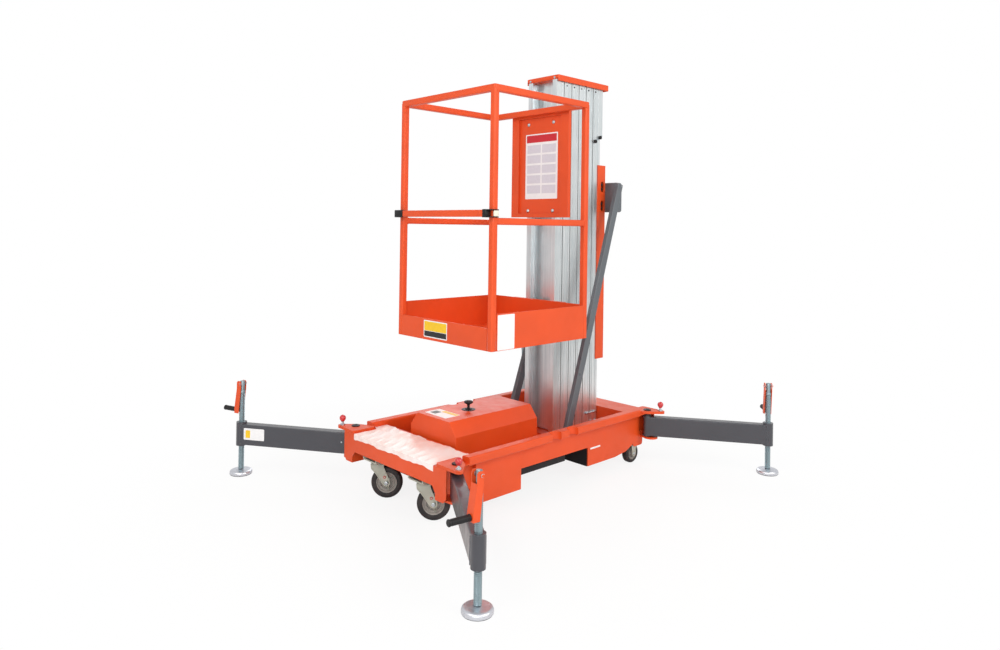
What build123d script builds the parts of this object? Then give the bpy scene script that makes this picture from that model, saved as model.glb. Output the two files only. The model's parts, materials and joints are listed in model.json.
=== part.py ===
"""Vertical mast work lift with folding outriggers, as it parks with its outriggers down.

Millimetres, +Z up, ground at z = 0. The entry side of the platform faces -Y, the mast stands
behind it, and right means +X. Every piece is drawn about the machine's own centre plane and
moved by frame_x on export, so that the origin is under the middle of the parked footprint.
"""

import os
from math import atan2, cos, degrees, radians, sin

from build123d import *

# Driving dimensions
# Chassis tray
half_len = 707.0        # centre to the front and rear faces
rail_out = 367.0        # centre to the outside of the side rails
rail_w = 46.0
overhang = 42.0         # the rails stand out this far past the side walls
sheet = 4.0             # wall and floor thickness
ear_top = 274.0         # top of the upper ears, which stand on the decks
deck_top = 262.0        # top of the front and rear decks
rail_top = 286.0
rail_h = 35.0
rail_gap = 122.0        # end face to the end of a side rail
deck_len = 207.0        # end face to the inner edge of the front deck
rear_deck_len = 142.0
box_gap = 195.0         # front face to the front deep box
rear_gap = 67.0         # rear face to the end of the rear box
floor_z = 158.0         # underside of the tray floor
box_z = 68.0            # underside of the deep boxes
front_box_len = 267.0
rear_box_y = 215.0
apron_z = 182.0         # lower edge of the front and rear aprons
leg_z = 130.0           # lower edge of the corner legs
leg_w = 66.0
web_in = 67.0           # rail outside to the corner webs
notch_r = 31.0          # half-round notches in the rails for the folded jacks
folded_y = 58.0         # centre to a folded jack

# Outriggers
pivot_in = 5.0          # rail outside to the pivot pin
pivot_gap = 57.0        # end face to the pivot pin
splay = 33.8            # degrees from the X axis when deployed
arm_w = 50.0
arm_z0 = 146.0
arm_z1 = 244.0
arm_wall = 4.0
arm_hub_r = 18.0
ear_r = 34.0
ear_t = 12.0
low_ear_t = 8.0
low_ear_gap = 6.0       # lower ear to the arm above it
pin_r = 12.0
pin_cap_r = 20.0
plunger_at = 70.0       # pivot to locking plunger
run = 0.3               # running clearance on pins, screws and hubs

# Jacks
sleeve_r = 25.0
sleeve_z0 = 140.0
sleeve_z1 = 252.0
screw_r = 13.5
screw_top = 449.0
pad_r = 52.5
pad_h = 12.0
neck_r = 11.0           # the screw's turned top, inside the lever
neck_len = 45.0
crank_face = 19.0       # screw axis to the outside of the lever at its top
crank_lean = 14.0       # the lever leans out this far at its grip
crank_w = 35.0          # the lever is a channel that straddles the screw
crank_d = 26.0
crank_wall = 3.0
crank_drop = 143.0
crank_pin_r = 5.0
crank_pin_z = 14.0      # screw top to the cross pin
grip_r = 12.0
grip_len = 82.0
crank_turn = {"fr": -98.0, "fl": 198.0, "rr": 130.0, "rl": 82.0}

# Wheels
wheel_r = 70.0
wheel_w = 34.0
rear_wheel_r = 50.0
rear_wheel_w = 38.0
hub_r = 44.0
boss_r = 14.0
axle_r = 6.0
cheek_gap = 3.0         # wheel to each fork leg or bracket
cheek_t = 4.0
caster_x = 166.0
caster_gap = 47.0       # front face to the caster pivots
caster_trail = 44.0
caster_turn = 45.0      # degrees, the way both casters are left pointing
caster_plate_w = 100.0
caster_plate_l = 76.0
rear_wheel_x = 292.0
rear_wheel_gap = 107.0  # rear face to the rear axle
guard_z = 88.0          # lower edge of the plates outside the rear wheels
guard_back = 45.0       # rear face to their rear edge
guard_plate = 79.0

# Mast
n_sections = 6
mast_half = 99.0
mast_front = 210.0
pitch = 58.4
rear_depth = 58.0       # the rear section is a little deeper than the others
back_z0 = 1706.0        # foot of the short box behind the rear section
back_d = 23.0
slit = 4.5              # gap between one section and the next
lip = 30.0              # front lip of each channel, from the side inwards
skin = 6.0
slide = 0.4             # guide clearance in the channel
groove = 2.0            # depth of the grooves down the sides
groove_at = 13.0
foot_t = 6.0            # base plate of the mast
stop_h = 4.0            # sections 2 to 6 rest on stops this high
mast_len = 1798.0
cap_t = 22.0            # cap above the section tops
cap_skirt = 31.0
cap_side = 11.0
cap_back = 58.0
cap_wall = 3.0
channel_d = 64.0
channel_back = 46.0     # rear section to the back of the channel round it
channel_z0 = 515.0
channel_z1 = 1552.0
bracket_z0 = 1301.0
bracket_z1 = 1459.0
bracket_half = 190.0
bracket_d = 31.0
brace_w = 24.0
brace_d = 42.0
brace_x = 178.0
brace_y = 71.0          # rear section to the top of each brace
brace_foot_x = 197.0
brace_foot_y = 193.0

# Work platform
plat_half = 330.0
plat_len = 630.0
plat_gap = 20.0         # platform to the front mast section
plat_z = 688.0
guard_h = 1130.0
tube = 30.0
corner_r = 12.0
tube_r = 8.0
pan_t = 3.0
lip_h = 97.0            # entry sill
toe_h = 157.0           # toe boards on the other three sides
mid_h = 549.0           # middle rails over the platform's underside
bar_h = 582.0
bar_s = 30.0            # the bar is a square tube
bar_sleeve = 36.0
sleeve_in = 35.0        # inside of the post to the inner end of a sleeve
sleeve_out = 8.0        # platform side to the outer end of the right sleeve
left_out = 36.0         # the same for the left sleeve
bar_clear = 0.5         # the bar's ends around the posts
plate_half = 196.0
plate_rib = 50.0
plate_h0 = 577.0        # lower edge of the mounting plate over the platform's underside

# Power unit hood
hood_half = 160.0
hood_gap = 18.0         # front deck to the hood
hood_len = 513.0
hood_z0 = 176.0
hood_shoulder = 300.0
hood_top = 358.0
hood_top_half = 112.0
hood_t = 3.0
ledge = 6.0             # under the hood's rim, and how far it stands out
ledge_t = 8.0
inset = 10.0            # power pack inside the hood

# Places that follow from them
wall_out = rail_out - overhang
film_half = rail_out - rail_w
rail_end = half_len - rail_gap
front_deck_back = deck_len - half_len
rear_deck_front = half_len - rear_deck_len
front_box_y = box_gap - half_len
front_box_back = front_box_y + front_box_len
rear_box_end = half_len - rear_gap
web_x = rail_out - web_in
film_in = web_x - 10
ear_z0 = ear_top - ear_t
low_ear_z1 = arm_z0 - low_ear_gap
pivot_x = rail_out - pivot_in
pivot_y = half_len - pivot_gap
arm_len = pivot_y - folded_y
caster_y = half_len - caster_gap
rear_wheel_y = half_len - rear_wheel_gap
fork_top = 2 * wheel_r + 22
mast_foot = floor_z + sheet + foot_t
mast_back = mast_front + pitch * (n_sections - 1) + rear_depth
mast_top = mast_foot + mast_len
cap_top = mast_top + cap_t
plat_y1 = mast_front - plat_gap
plat_y0 = plat_y1 - plat_len
guard_top = plat_z + guard_h
channel_y = mast_back + channel_back
brace_end = channel_y + bracket_d
hood_y0 = front_deck_back + hood_gap
hood_y1 = hood_y0 + hood_len

# The crank of the left jack reaches past the pads, so the origin moves by half of what it
# adds and stays under the middle of the whole machine.
jack_dx = arm_len * cos(radians(splay))
jack_dy = arm_len * sin(radians(splay))
grip_foot = crank_face + crank_lean
left_turn = radians(crank_turn["fl"])
grip_reach = -(grip_foot + grip_len) * cos(left_turn) - grip_r * sin(left_turn)
frame_x = (grip_reach - pad_r) / 2

corners = {"fr": (1, -1), "fl": (-1, -1), "rr": (1, 1), "rl": (-1, 1)}


def block(x0, x1, y0, y1, z0, z1, mode=Mode.ADD):
    """A box from its six faces, in the open part."""
    with Locations(((x0 + x1) / 2, (y0 + y1) / 2, (z0 + z1) / 2)):
        Box(abs(x1 - x0), abs(y1 - y0), abs(z1 - z0), mode=mode)


def post(x, y, z0, z1, r, mode=Mode.ADD):
    """An upright cylinder from its foot to its top, in the open part."""
    with Locations((x, y, (z0 + z1) / 2)):
        Cylinder(r, z1 - z0, mode=mode)


def save(name, part):
    """Move one node into the shared frame, label it and write its STEP file."""
    node = part.moved(Location((frame_x, 0, 0)))
    node.label = name
    export_step(node, "parts/" + name + ".step")


def pivot_of(key):
    """Where the arm at one corner turns."""
    sx, sy = corners[key]
    return sx * pivot_x, sy * pivot_y


def jack_of(key):
    """Where the jack at one corner stands when its arm is out."""
    sx, sy = corners[key]
    return sx * (pivot_x + jack_dx), sy * (pivot_y + jack_dy)


def heading(key):
    """Which way the arm at one corner points, in degrees from +X."""
    sx, sy = corners[key]
    return degrees(atan2(sy * jack_dy, sx * jack_dx))


os.makedirs("parts", exist_ok=True)

# Chassis tray: one welded sheet pan with deep boxes, decks, aprons, rails and ears
rear_curve = rear_box_end - 430
side_line = [
    (front_box_y, deck_top),
    (front_box_y, box_z),
    (front_box_back, box_z),
    (front_box_back, floor_z),
    (rear_box_y, floor_z),
    (rear_box_y, box_z),
    (rear_box_end - rear_curve, box_z),
    (rear_box_end - rear_curve * 0.57, box_z + 11),
    (rear_box_end - rear_curve * 0.24, box_z + 40),
    (rear_box_end - rear_curve * 0.04, box_z + 82),
    (rear_box_end, deck_top),
]
inner_line = [
    (front_box_y + sheet, deck_top + 30),
    (front_box_y + sheet, box_z + sheet),
    (front_box_back - sheet, box_z + sheet),
    (front_box_back - sheet, floor_z + sheet),
    (rear_box_end - sheet, floor_z + sheet),
    (rear_box_end - sheet, deck_top + 30),
]
apron_line = [
    (-rail_out, deck_top - sheet),
    (-rail_out, leg_z + 20),
    (-rail_out + 17, leg_z),
    (-rail_out + leg_w, leg_z),
    (-rail_out + leg_w, leg_z + 24),
    (-rail_out + leg_w + 20, apron_z),
    (rail_out - leg_w - 20, apron_z),
    (rail_out - leg_w, leg_z + 24),
    (rail_out - leg_w, leg_z),
    (rail_out - 17, leg_z),
    (rail_out, leg_z + 20),
    (rail_out, deck_top - sheet),
]
with BuildPart() as tray:
    with BuildSketch(Plane.YZ.offset(-wall_out)):
        with BuildLine():
            Polyline(*side_line, close=True)
        make_face()
    extrude(amount=2 * wall_out)
    with BuildSketch(Plane.YZ.offset(-wall_out + sheet)):
        with BuildLine():
            Polyline(*inner_line, close=True)
        make_face()
    extrude(amount=2 * (wall_out - sheet), mode=Mode.SUBTRACT)
    # The rear box is a skirt, open below for the rear wheels
    block(-wall_out + sheet, wall_out - sheet, rear_box_y + sheet, half_len, 0, floor_z, mode=Mode.SUBTRACT)
    # Front and rear decks, and the aprons that hang from them
    block(-rail_out, rail_out, -half_len, front_deck_back, deck_top - sheet, deck_top)
    block(-rail_out, rail_out, rear_deck_front, half_len, deck_top - sheet, deck_top)
    for y0 in (-half_len + sheet, half_len):
        with BuildSketch(Plane.XZ.offset(-y0)):
            with BuildLine():
                Polyline(*apron_line, close=True)
            make_face()
        extrude(amount=sheet)
    # Bulkhead under the rear deck, and the base plate of the mast ahead of it
    block(-wall_out, wall_out, rear_deck_front, rear_deck_front + sheet, floor_z, deck_top - sheet)
    block(-mast_half - 7, mast_half + 7, mast_front - 20, rear_deck_front, floor_z + sheet, mast_foot)
    for sx in (-1, 1):
        # Side rails: a rolled edge that overhangs the folded arms
        with BuildSketch(Plane.XZ.offset(-rail_end)):
            with Locations((sx * (rail_out - rail_w / 2), rail_top - rail_h / 2)):
                RectangleRounded(rail_w, rail_h, 8)
        extrude(amount=2 * rail_end)
        # Corner webs that carry the ears
        block(sx * web_x, sx * (web_x + sheet), -half_len, front_box_y + sheet, leg_z, deck_top - sheet)
        block(sx * web_x, sx * (web_x + sheet), rear_box_end - sheet, half_len, leg_z, deck_top - sheet)
        # Plates outside the rear wheels
        plate_y1 = half_len - guard_back
        with BuildSketch(Plane.YZ.offset(min(sx * wall_out, sx * (wall_out - sheet)))):
            with Locations((plate_y1 - guard_plate / 2, (guard_z + floor_z + sheet) / 2)):
                RectangleRounded(guard_plate, floor_z + sheet - guard_z, 14)
        extrude(amount=sheet)
    # Nothing but the ears stands above the decks
    block(-rail_out, rail_out, rail_end, half_len, deck_top, ear_top, mode=Mode.SUBTRACT)
    block(-rail_out, rail_out, -half_len, -rail_end, deck_top, ear_top, mode=Mode.SUBTRACT)
    block(-film_half, film_half, -half_len, front_deck_back, deck_top, ear_top, mode=Mode.SUBTRACT)
    for key, (sx, sy) in corners.items():
        px, py = pivot_of(key)
        ux, uy = cos(radians(heading(key))), sin(radians(heading(key)))
        # Upper ear, out to the plunger, and lower ear
        with BuildSketch(Plane.XY.offset(ear_z0)):
            with Locations((px, py)):
                Circle(ear_r)
            with Locations((px + ux * plunger_at, py + uy * plunger_at)):
                Circle(ear_r / 2)
            with Locations((sx * (web_x + 10), py - sy * 50), (sx * (web_x + 10), py + sy * 40)):
                Circle(15)
            make_hull()
        extrude(amount=ear_t)
        with BuildSketch(Plane.XY.offset(low_ear_z1 - low_ear_t)):
            with Locations((px + ux * 20, py + uy * 20)):
                Circle(ear_r)
            with Locations((sx * (web_x + 14), py + sy * 7), (sx * (web_x + 14), py + sy * 38)):
                Circle(13)
            make_hull()
        extrude(amount=low_ear_t)
        post(px, py, low_ear_z1 - low_ear_t - 1, ear_top + 1, pin_r, mode=Mode.SUBTRACT)
        # The deck passes below the ear, round the arm's hub
        post(px, py, deck_top - sheet, deck_top, arm_hub_r + 5, mode=Mode.SUBTRACT)
        # Half-round notch for the folded jack
        post(px, sy * folded_y, rail_top - rail_h - 1, rail_top + 1, notch_r, mode=Mode.SUBTRACT)
save("chassis_tray", tray.part)

# Belly pan under the tray floor, ahead of the fork pocket
with BuildPart() as belly:
    block(-wall_out + 25, wall_out - 25, front_box_back + 1, rear_box_y - 140, floor_z - 40, floor_z)
save("belly_pan", belly.part)

# Protective film left on the front deck
with BuildPart() as film:
    block(-film_in, film_in, -half_len + 2, -rail_end, deck_top, deck_top + 0.6)
    block(-film_half, film_half, -rail_end, front_deck_back, deck_top, deck_top + 0.6)
save("deck_film", film.part)

# Pivot pins with their caps
with BuildPart() as pins:
    for key in corners:
        px, py = pivot_of(key)
        post(px, py, low_ear_z1 - low_ear_t - 4, ear_top, pin_r)
        post(px, py, ear_top, ear_top + 5, pin_cap_r)
save("arm_pivot_pins", pins.part)

# Locking plungers on the upper ears
with BuildPart() as plungers:
    for key in corners:
        px, py = pivot_of(key)
        ux, uy = cos(radians(heading(key))), sin(radians(heading(key)))
        post(px + ux * plunger_at, py + uy * plunger_at, ear_top, ear_top + 22, 6)
        with Locations((px + ux * plunger_at, py + uy * plunger_at, ear_top + 32)):
            Sphere(15)
save("arm_plungers", plungers.part)

# Power pack: one plain block for battery, pump and tank, with the hood's ledge
pack_half = hood_half - inset
pack_top = hood_z0 - ledge_t
pack_front = front_box_y + sheet + 6
pack_step = front_box_back - sheet - 6
with BuildPart() as pack:
    block(-pack_half, pack_half, pack_front, pack_step, box_z + sheet, pack_top)
    block(-pack_half, pack_half, pack_step, hood_y1 - inset, floor_z + sheet, pack_top)
    with BuildSketch(Plane.XY.offset(pack_top)):
        with Locations((0, (hood_y0 + hood_y1) / 2)):
            Rectangle(2 * (hood_half + ledge), hood_len + 2 * ledge)
    extrude(amount=ledge_t - run)
    block(-pack_half, pack_half, hood_y0 + inset, hood_y1 - inset, pack_top, hood_shoulder - 2 * inset)
save("power_pack", pack.part)


def section(k):
    """The extruded channel of section k, where 1 is the rear one and n_sections the front."""
    y0 = mast_front + pitch * (n_sections - k)
    y1 = y0 + (rear_depth if k == 1 else pitch - slit)
    z0 = mast_foot if k == 1 else mast_foot + stop_h
    with BuildPart() as part:
        with BuildSketch(Plane.XY.offset(z0)):
            with Locations((0, (y0 + y1) / 2)):
                Rectangle(2 * mast_half, y1 - y0)
                Rectangle(2 * (mast_half - skin), y1 - y0 - 2 * skin, mode=Mode.SUBTRACT)
            with Locations((0, y0 + skin / 2)):
                Rectangle(2 * (mast_half - lip), skin, mode=Mode.SUBTRACT)
            # Grooves down each side, beside the lip and beside the web
            for y in (y0 + groove_at, y0 + pitch - slit - groove_at):
                with Locations((-mast_half, y), (mast_half, y)):
                    Rectangle(2 * groove, 3, mode=Mode.SUBTRACT)
            if k > 1:
                # The guide that runs in the channel behind
                neck = mast_half - lip - 6
                reach = slit + skin + slide
                with Locations((-neck + 4, y1 + reach / 2), (neck - 4, y1 + reach / 2)):
                    Rectangle(8, reach)
                with Locations((0, y1 + reach + 4)):
                    Rectangle(2 * (mast_half - skin - 2), 8)
        extrude(amount=mast_top - z0)
        if k == 1:
            block(-mast_half + 2, mast_half - 2, mast_back, mast_back + back_d, back_z0, mast_top - 6)
            block(-mast_half + 5, mast_half - 5, mast_back, mast_back + back_d - 3, back_z0 - 1,
                  mast_top - 9, mode=Mode.SUBTRACT)
    return part.part


# Mast: six nested channels, the rear one fixed
for k in range(1, n_sections + 1):
    save("mast_section_" + str(k), section(k))

# Mast cap on the front section
with BuildPart() as cap:
    with BuildSketch(Plane.XY.offset(cap_top - cap_skirt)):
        with Locations((0, (mast_front - 2 + mast_back + cap_back) / 2)):
            RectangleRounded(2 * (mast_half + cap_side), mast_back + cap_back - mast_front + 2, 6)
    extrude(amount=cap_skirt)
    top_edges = cap.edges().group_by(Axis.Z)[-1]
    fillet(top_edges, 3)
    block(-mast_half - cap_side + cap_wall, mast_half + cap_side - cap_wall, mast_front - 4,
          mast_back + cap_back - cap_wall, cap_top - cap_skirt - 1, cap_top - cap_t + 5, mode=Mode.SUBTRACT)
    block(-mast_half + 1, mast_half - 1, mast_front, mast_front + pitch - slit, mast_top, mast_top + 6)
save("mast_cap", cap.part)

# Rear channel behind the mast
with BuildPart() as channel:
    with BuildSketch(Plane.XY.offset(channel_z0)):
        with Locations((0, channel_y - channel_d / 2)):
            Rectangle(2 * (mast_half + 4), channel_d)
        with Locations((0, channel_y - (channel_d + 5) / 2)):
            Rectangle(2 * mast_half, channel_d - 5, mode=Mode.SUBTRACT)
    extrude(amount=channel_z1 - channel_z0)
    for z0 in (channel_z0, channel_z1 - 60):
        block(-mast_half + 10, mast_half - 10, mast_back, channel_y - 5, z0, z0 + 60)
    # Slots in both flanges, level with the bracket
    for z in (bracket_z0 + 34, bracket_z1 - 22):
        with BuildSketch(Plane.YZ.offset(-mast_half - 5)):
            with Locations((channel_y - 24, z)):
                SlotOverall(56, 24, rotation=90)
        extrude(amount=2 * mast_half + 10, mode=Mode.SUBTRACT)
save("rear_channel", channel.part)

# Braces from the tray up to the bracket behind the mast
with BuildPart() as braces:
    with BuildSketch(Plane.XZ.offset(-channel_y - bracket_d)):
        with Locations((0, (bracket_z0 + bracket_z1) / 2)):
            RectangleRounded(2 * bracket_half, bracket_z1 - bracket_z0, 14)
    extrude(amount=bracket_d)
    for sx in (-1, 1):
        top = (sx * brace_x, mast_back + brace_y, bracket_z1 - 8)
        foot = (sx * brace_foot_x, brace_foot_y, floor_z + sheet + 8)
        lean = Vector(*top) - Vector(*foot)
        with BuildSketch(Plane(origin=foot, x_dir=(1, 0, 0), z_dir=lean)):
            RectangleRounded(brace_w, brace_d, 3)
        extrude(amount=lean.length)
        block(sx * brace_foot_x - 25, sx * brace_foot_x + 25, brace_foot_y - 30, brace_foot_y + 30,
              floor_z + sheet, floor_z + sheet + 8)
    # The tubes are trimmed flush with the back of the bracket
    block(-bracket_half, bracket_half, brace_end, brace_end + brace_d, bracket_z0, bracket_z1 + brace_d,
          mode=Mode.SUBTRACT)
save("mast_braces", braces.part)

# Hood over the power unit, and its knob
hood_line = [
    (-hood_half, hood_z0),
    (hood_half, hood_z0),
    (hood_half, hood_shoulder),
    (hood_top_half, hood_top),
    (-hood_top_half, hood_top),
    (-hood_half, hood_shoulder),
]
with BuildPart() as hood:
    with BuildSketch(Plane.XZ.offset(-hood_y1)):
        with BuildLine():
            Polyline(*hood_line, close=True)
        make_face()
    extrude(amount=hood_len)
    fillet(hood.edges().filter_by(lambda e: e.center().Z > hood_z0 + 10), 2)
    with BuildSketch(Plane.XZ.offset(-hood_y1 + hood_t)):
        with BuildLine():
            Polyline(*hood_line, close=True)
        make_face()
        offset(amount=-hood_t, kind=Kind.INTERSECTION, mode=Mode.REPLACE)
    extrude(amount=hood_len - 2 * hood_t, mode=Mode.SUBTRACT)
    with BuildSketch(Plane.XY.offset(hood_z0 - 1)):
        with Locations((0, (hood_y0 + hood_y1) / 2)):
            Rectangle(2 * (hood_half - hood_t), hood_len - 2 * hood_t)
    extrude(amount=11, mode=Mode.SUBTRACT)
save("hood", hood.part)

knob_y = (hood_y0 + hood_y1) / 2 - 44
with BuildPart() as hood_knob:
    post(0, knob_y, hood_top, hood_top + 6, 17)
    post(0, knob_y, hood_top + 6, hood_top + 28, 6)
    post(0, knob_y, hood_top + 28, hood_top + 42, 21)
save("hood_knob", hood_knob.part)

# Work platform: floor pan and guard rails
plat_mid = (plat_y0 + plat_y1) / 2
post_x = plat_half - tube / 2
post_y = plat_len / 2 - tube / 2
post_spots = [(sx * post_x, plat_mid + sy * post_y) for sx in (-1, 1) for sy in (-1, 1)]
with BuildPart() as pan:
    with BuildSketch(Plane.XY.offset(plat_z)):
        with Locations((0, plat_mid)):
            RectangleRounded(2 * plat_half, plat_len, corner_r)
    extrude(amount=toe_h)
    block(-plat_half + pan_t, plat_half - pan_t, plat_y0 + pan_t, plat_y1 - pan_t, plat_z + 4,
          plat_z + toe_h + 1, mode=Mode.SUBTRACT)
    block(-plat_half - 1, plat_half + 1, plat_y0 - 1, plat_y0 + tube, plat_z + lip_h, plat_z + toe_h + 1,
          mode=Mode.SUBTRACT)
    with Locations(*[(x, y, plat_z + toe_h / 2) for x, y in post_spots]):
        Box(tube, tube, toe_h + 2, mode=Mode.SUBTRACT)
save("platform_pan", pan.part)

with BuildPart() as hoop:
    with BuildSketch(Plane.XY.offset(guard_top - tube)):
        with Locations((0, plat_mid)):
            RectangleRounded(2 * plat_half, plat_len, corner_r)
            Rectangle(2 * (plat_half - tube), plat_len - 2 * tube, mode=Mode.SUBTRACT)
    extrude(amount=tube)
    fillet(hoop.edges().group_by(Axis.Z)[-1] + hoop.edges().group_by(Axis.Z)[0], 5)

with BuildPart() as guard:
    with BuildSketch(Plane.XY.offset(plat_z)):
        with Locations(*post_spots):
            RectangleRounded(tube, tube, tube_r)
    extrude(amount=guard_h - tube / 2)
    for sx in (-1, 1):
        with BuildSketch(Plane.XZ.offset(-plat_y1 + tube / 2)):
            with Locations((sx * (plat_half - tube / 2), plat_z + mid_h)):
                RectangleRounded(tube, tube, tube_r)
        extrude(amount=plat_len - tube)
    add(hoop.part)
save("platform_guard", guard.part)

# Plate that bolts the platform to the front mast section
with BuildPart() as plate:
    block(-plate_half, plate_half, plat_y1, mast_front, plat_z + plate_h0, guard_top - 6)
    block(-plate_half + plate_rib, plate_half - plate_rib, plat_y1 - 1, plat_y1 + 12,
          plat_z + plate_h0 + 20, guard_top - tube - 10, mode=Mode.SUBTRACT)
    block(-plate_half + 20, plate_half - 20, plat_y1, mast_front, plat_z + 12, plat_z + toe_h)
save("mount_plate", plate.part)

# Entry bar that lifts on the two front posts
bar_z = plat_z + bar_h
bar_y1 = plat_y0 - 1
bar_y0 = bar_y1 - bar_s
post_in = plat_half - tube
bar_end = post_in - sleeve_in
with BuildPart() as bar:
    with BuildSketch(Plane.YZ.offset(-bar_end)):
        with Locations(((bar_y0 + bar_y1) / 2, bar_z)):
            RectangleRounded(bar_s, bar_s, 4)
    extrude(amount=2 * bar_end)
save("entry_bar", bar.part)

with BuildPart() as bar_ends:
    y0 = bar_y0 - 2
    y1 = plat_y0 + tube
    z0 = bar_z - bar_sleeve / 2
    z1 = bar_z + bar_sleeve / 2
    block(bar_end, plat_half + sleeve_out, y0, y1 - 2, z0, z1)
    block(-plat_half - left_out, -bar_end, y0, y1 - 2, z0, z1)
    for sx in (-1, 1):
        # Room for the post, and for the toe of the sleeve inside it
        block(sx * (post_in - bar_clear), sx * (plat_half + bar_clear), plat_y0 - bar_clear, y1,
              z0 - 1, z1 + 1, mode=Mode.SUBTRACT)
        block(sx * (bar_end - 1), sx * (post_in - 8), plat_y0 - bar_clear, y1, z0 - 1, z1 + 1,
              mode=Mode.SUBTRACT)
save("entry_bar_ends", bar_ends.part)

# Outriggers: arm, jack screw with pad, crank lever and grip at each corner
for key in corners:
    px, py = pivot_of(key)
    jx, jy = jack_of(key)
    with BuildPart() as arm:
        with BuildSketch(Plane.YZ):
            with Locations((0, (arm_z0 + arm_z1) / 2)):
                RectangleRounded(arm_w, arm_z1 - arm_z0, 5)
        extrude(amount=arm_len)
        with BuildSketch(Plane.XY.offset(arm_z0)):
            Circle(arm_w / 2)
        extrude(amount=arm_z1 - arm_z0)
        block(-arm_w, arm_len - sleeve_r, -arm_w / 2 + arm_wall, arm_w / 2 - arm_wall,
              arm_z0 + arm_wall, arm_z1 - arm_wall, mode=Mode.SUBTRACT)
        post(0, 0, low_ear_z1 + run, ear_z0 - run, arm_hub_r)
        post(0, 0, low_ear_z1, ear_z0, pin_r + run, mode=Mode.SUBTRACT)
        post(arm_len, 0, sleeve_z0, sleeve_z1, sleeve_r)
        post(arm_len, 0, sleeve_z0 - 1, sleeve_z1 + 1, screw_r + run, mode=Mode.SUBTRACT)
    save("arm_" + key, arm.part.moved(Location((px, py, 0), (0, 0, heading(key)))))

    with BuildPart() as screw:
        post(jx, jy, 0, screw_top - neck_len, screw_r)
        post(jx, jy, screw_top - neck_len, screw_top, neck_r)
        with BuildSketch(Plane.XZ.offset(-jy)):
            with BuildLine():
                Polyline((jx, 0), (jx + pad_r, 0), (jx + pad_r, pad_h), (jx + pad_r - 6, pad_h + 6),
                         (jx + pad_r - 13, pad_h + 4), (jx + screw_r + 8, pad_h), (jx + screw_r, pad_h + 12),
                         (jx, pad_h + 12), close=True)
            make_face()
        revolve(axis=Axis((jx, jy, 0), (0, 0, 1)))
    save("jack_screw_" + key, screw.part)

    at = Location((jx, jy, 0), (0, 0, crank_turn[key]))
    with BuildPart() as crank:
        web_top = screw_top - neck_len + 6
        lever_foot = screw_top - crank_drop - grip_r - 1
        inner_face = crank_face - crank_wall
        with BuildSketch(Plane.XZ.offset(-crank_w / 2)):
            with BuildLine():
                Polyline(
                    (crank_face - crank_d, screw_top - 4),
                    (crank_face - crank_d + 5, screw_top),
                    (crank_face - 6, screw_top),
                    (crank_face, screw_top - 7),
                    (crank_face, web_top),
                    (grip_foot, screw_top - crank_drop + grip_r),
                    (grip_foot, lever_foot),
                    (grip_foot - crank_d, lever_foot),
                    (crank_face - crank_d, web_top),
                    close=True,
                )
            make_face()
        extrude(amount=crank_w)
        with BuildSketch(Plane.XZ.offset(-crank_w / 2 + crank_wall)):
            with BuildLine():
                Polyline(
                    (inner_face - crank_d, screw_top + 1),
                    (crank_face + 1, screw_top + 1),
                    (crank_face + 1, web_top),
                    (inner_face, web_top),
                    (inner_face + crank_lean, screw_top - crank_drop + grip_r),
                    (inner_face + crank_lean, lever_foot - 1),
                    (inner_face - crank_d, lever_foot - 1),
                    close=True,
                )
            make_face()
        extrude(amount=crank_w - 2 * crank_wall, mode=Mode.SUBTRACT)
        # Cross pin, with a head outside each cheek
        with Locations((0, 0, screw_top - crank_pin_z)):
            Cylinder(crank_pin_r, crank_w + 10, rotation=(90, 0, 0))
        post(0, 0, screw_top - neck_len, screw_top + 1, neck_r + run, mode=Mode.SUBTRACT)
    save("crank_" + key, crank.part.moved(at))
    with BuildPart() as grip:
        with Locations((grip_foot + grip_len / 2, 0, screw_top - crank_drop)):
            Cylinder(grip_r, grip_len, rotation=(0, 90, 0))
    save("grip_" + key, grip.part.moved(at))

# Wheels: two swivel casters in front, two fixed wheels at the back


def wheel(r, wheel_w):
    """A tyre ring and its wheel centre, about the Y axis at the origin."""
    with BuildPart() as tyre:
        Cylinder(r, wheel_w, rotation=(90, 0, 0))
        fillet(tyre.edges(), 6)
        Cylinder(r * 0.66, wheel_w + 1, rotation=(90, 0, 0), mode=Mode.SUBTRACT)
    with BuildPart() as hub:
        Cylinder(r * 0.66, wheel_w - 8, rotation=(90, 0, 0))
        Cylinder(r * 0.48, wheel_w, rotation=(90, 0, 0), mode=Mode.SUBTRACT)
        Cylinder(r * 0.5, 10, rotation=(90, 0, 0))
        Cylinder(boss_r, wheel_w + 4, rotation=(90, 0, 0))
        Cylinder(axle_r + run, wheel_w + 6, rotation=(90, 0, 0), mode=Mode.SUBTRACT)
    return tyre.part, hub.part


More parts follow.
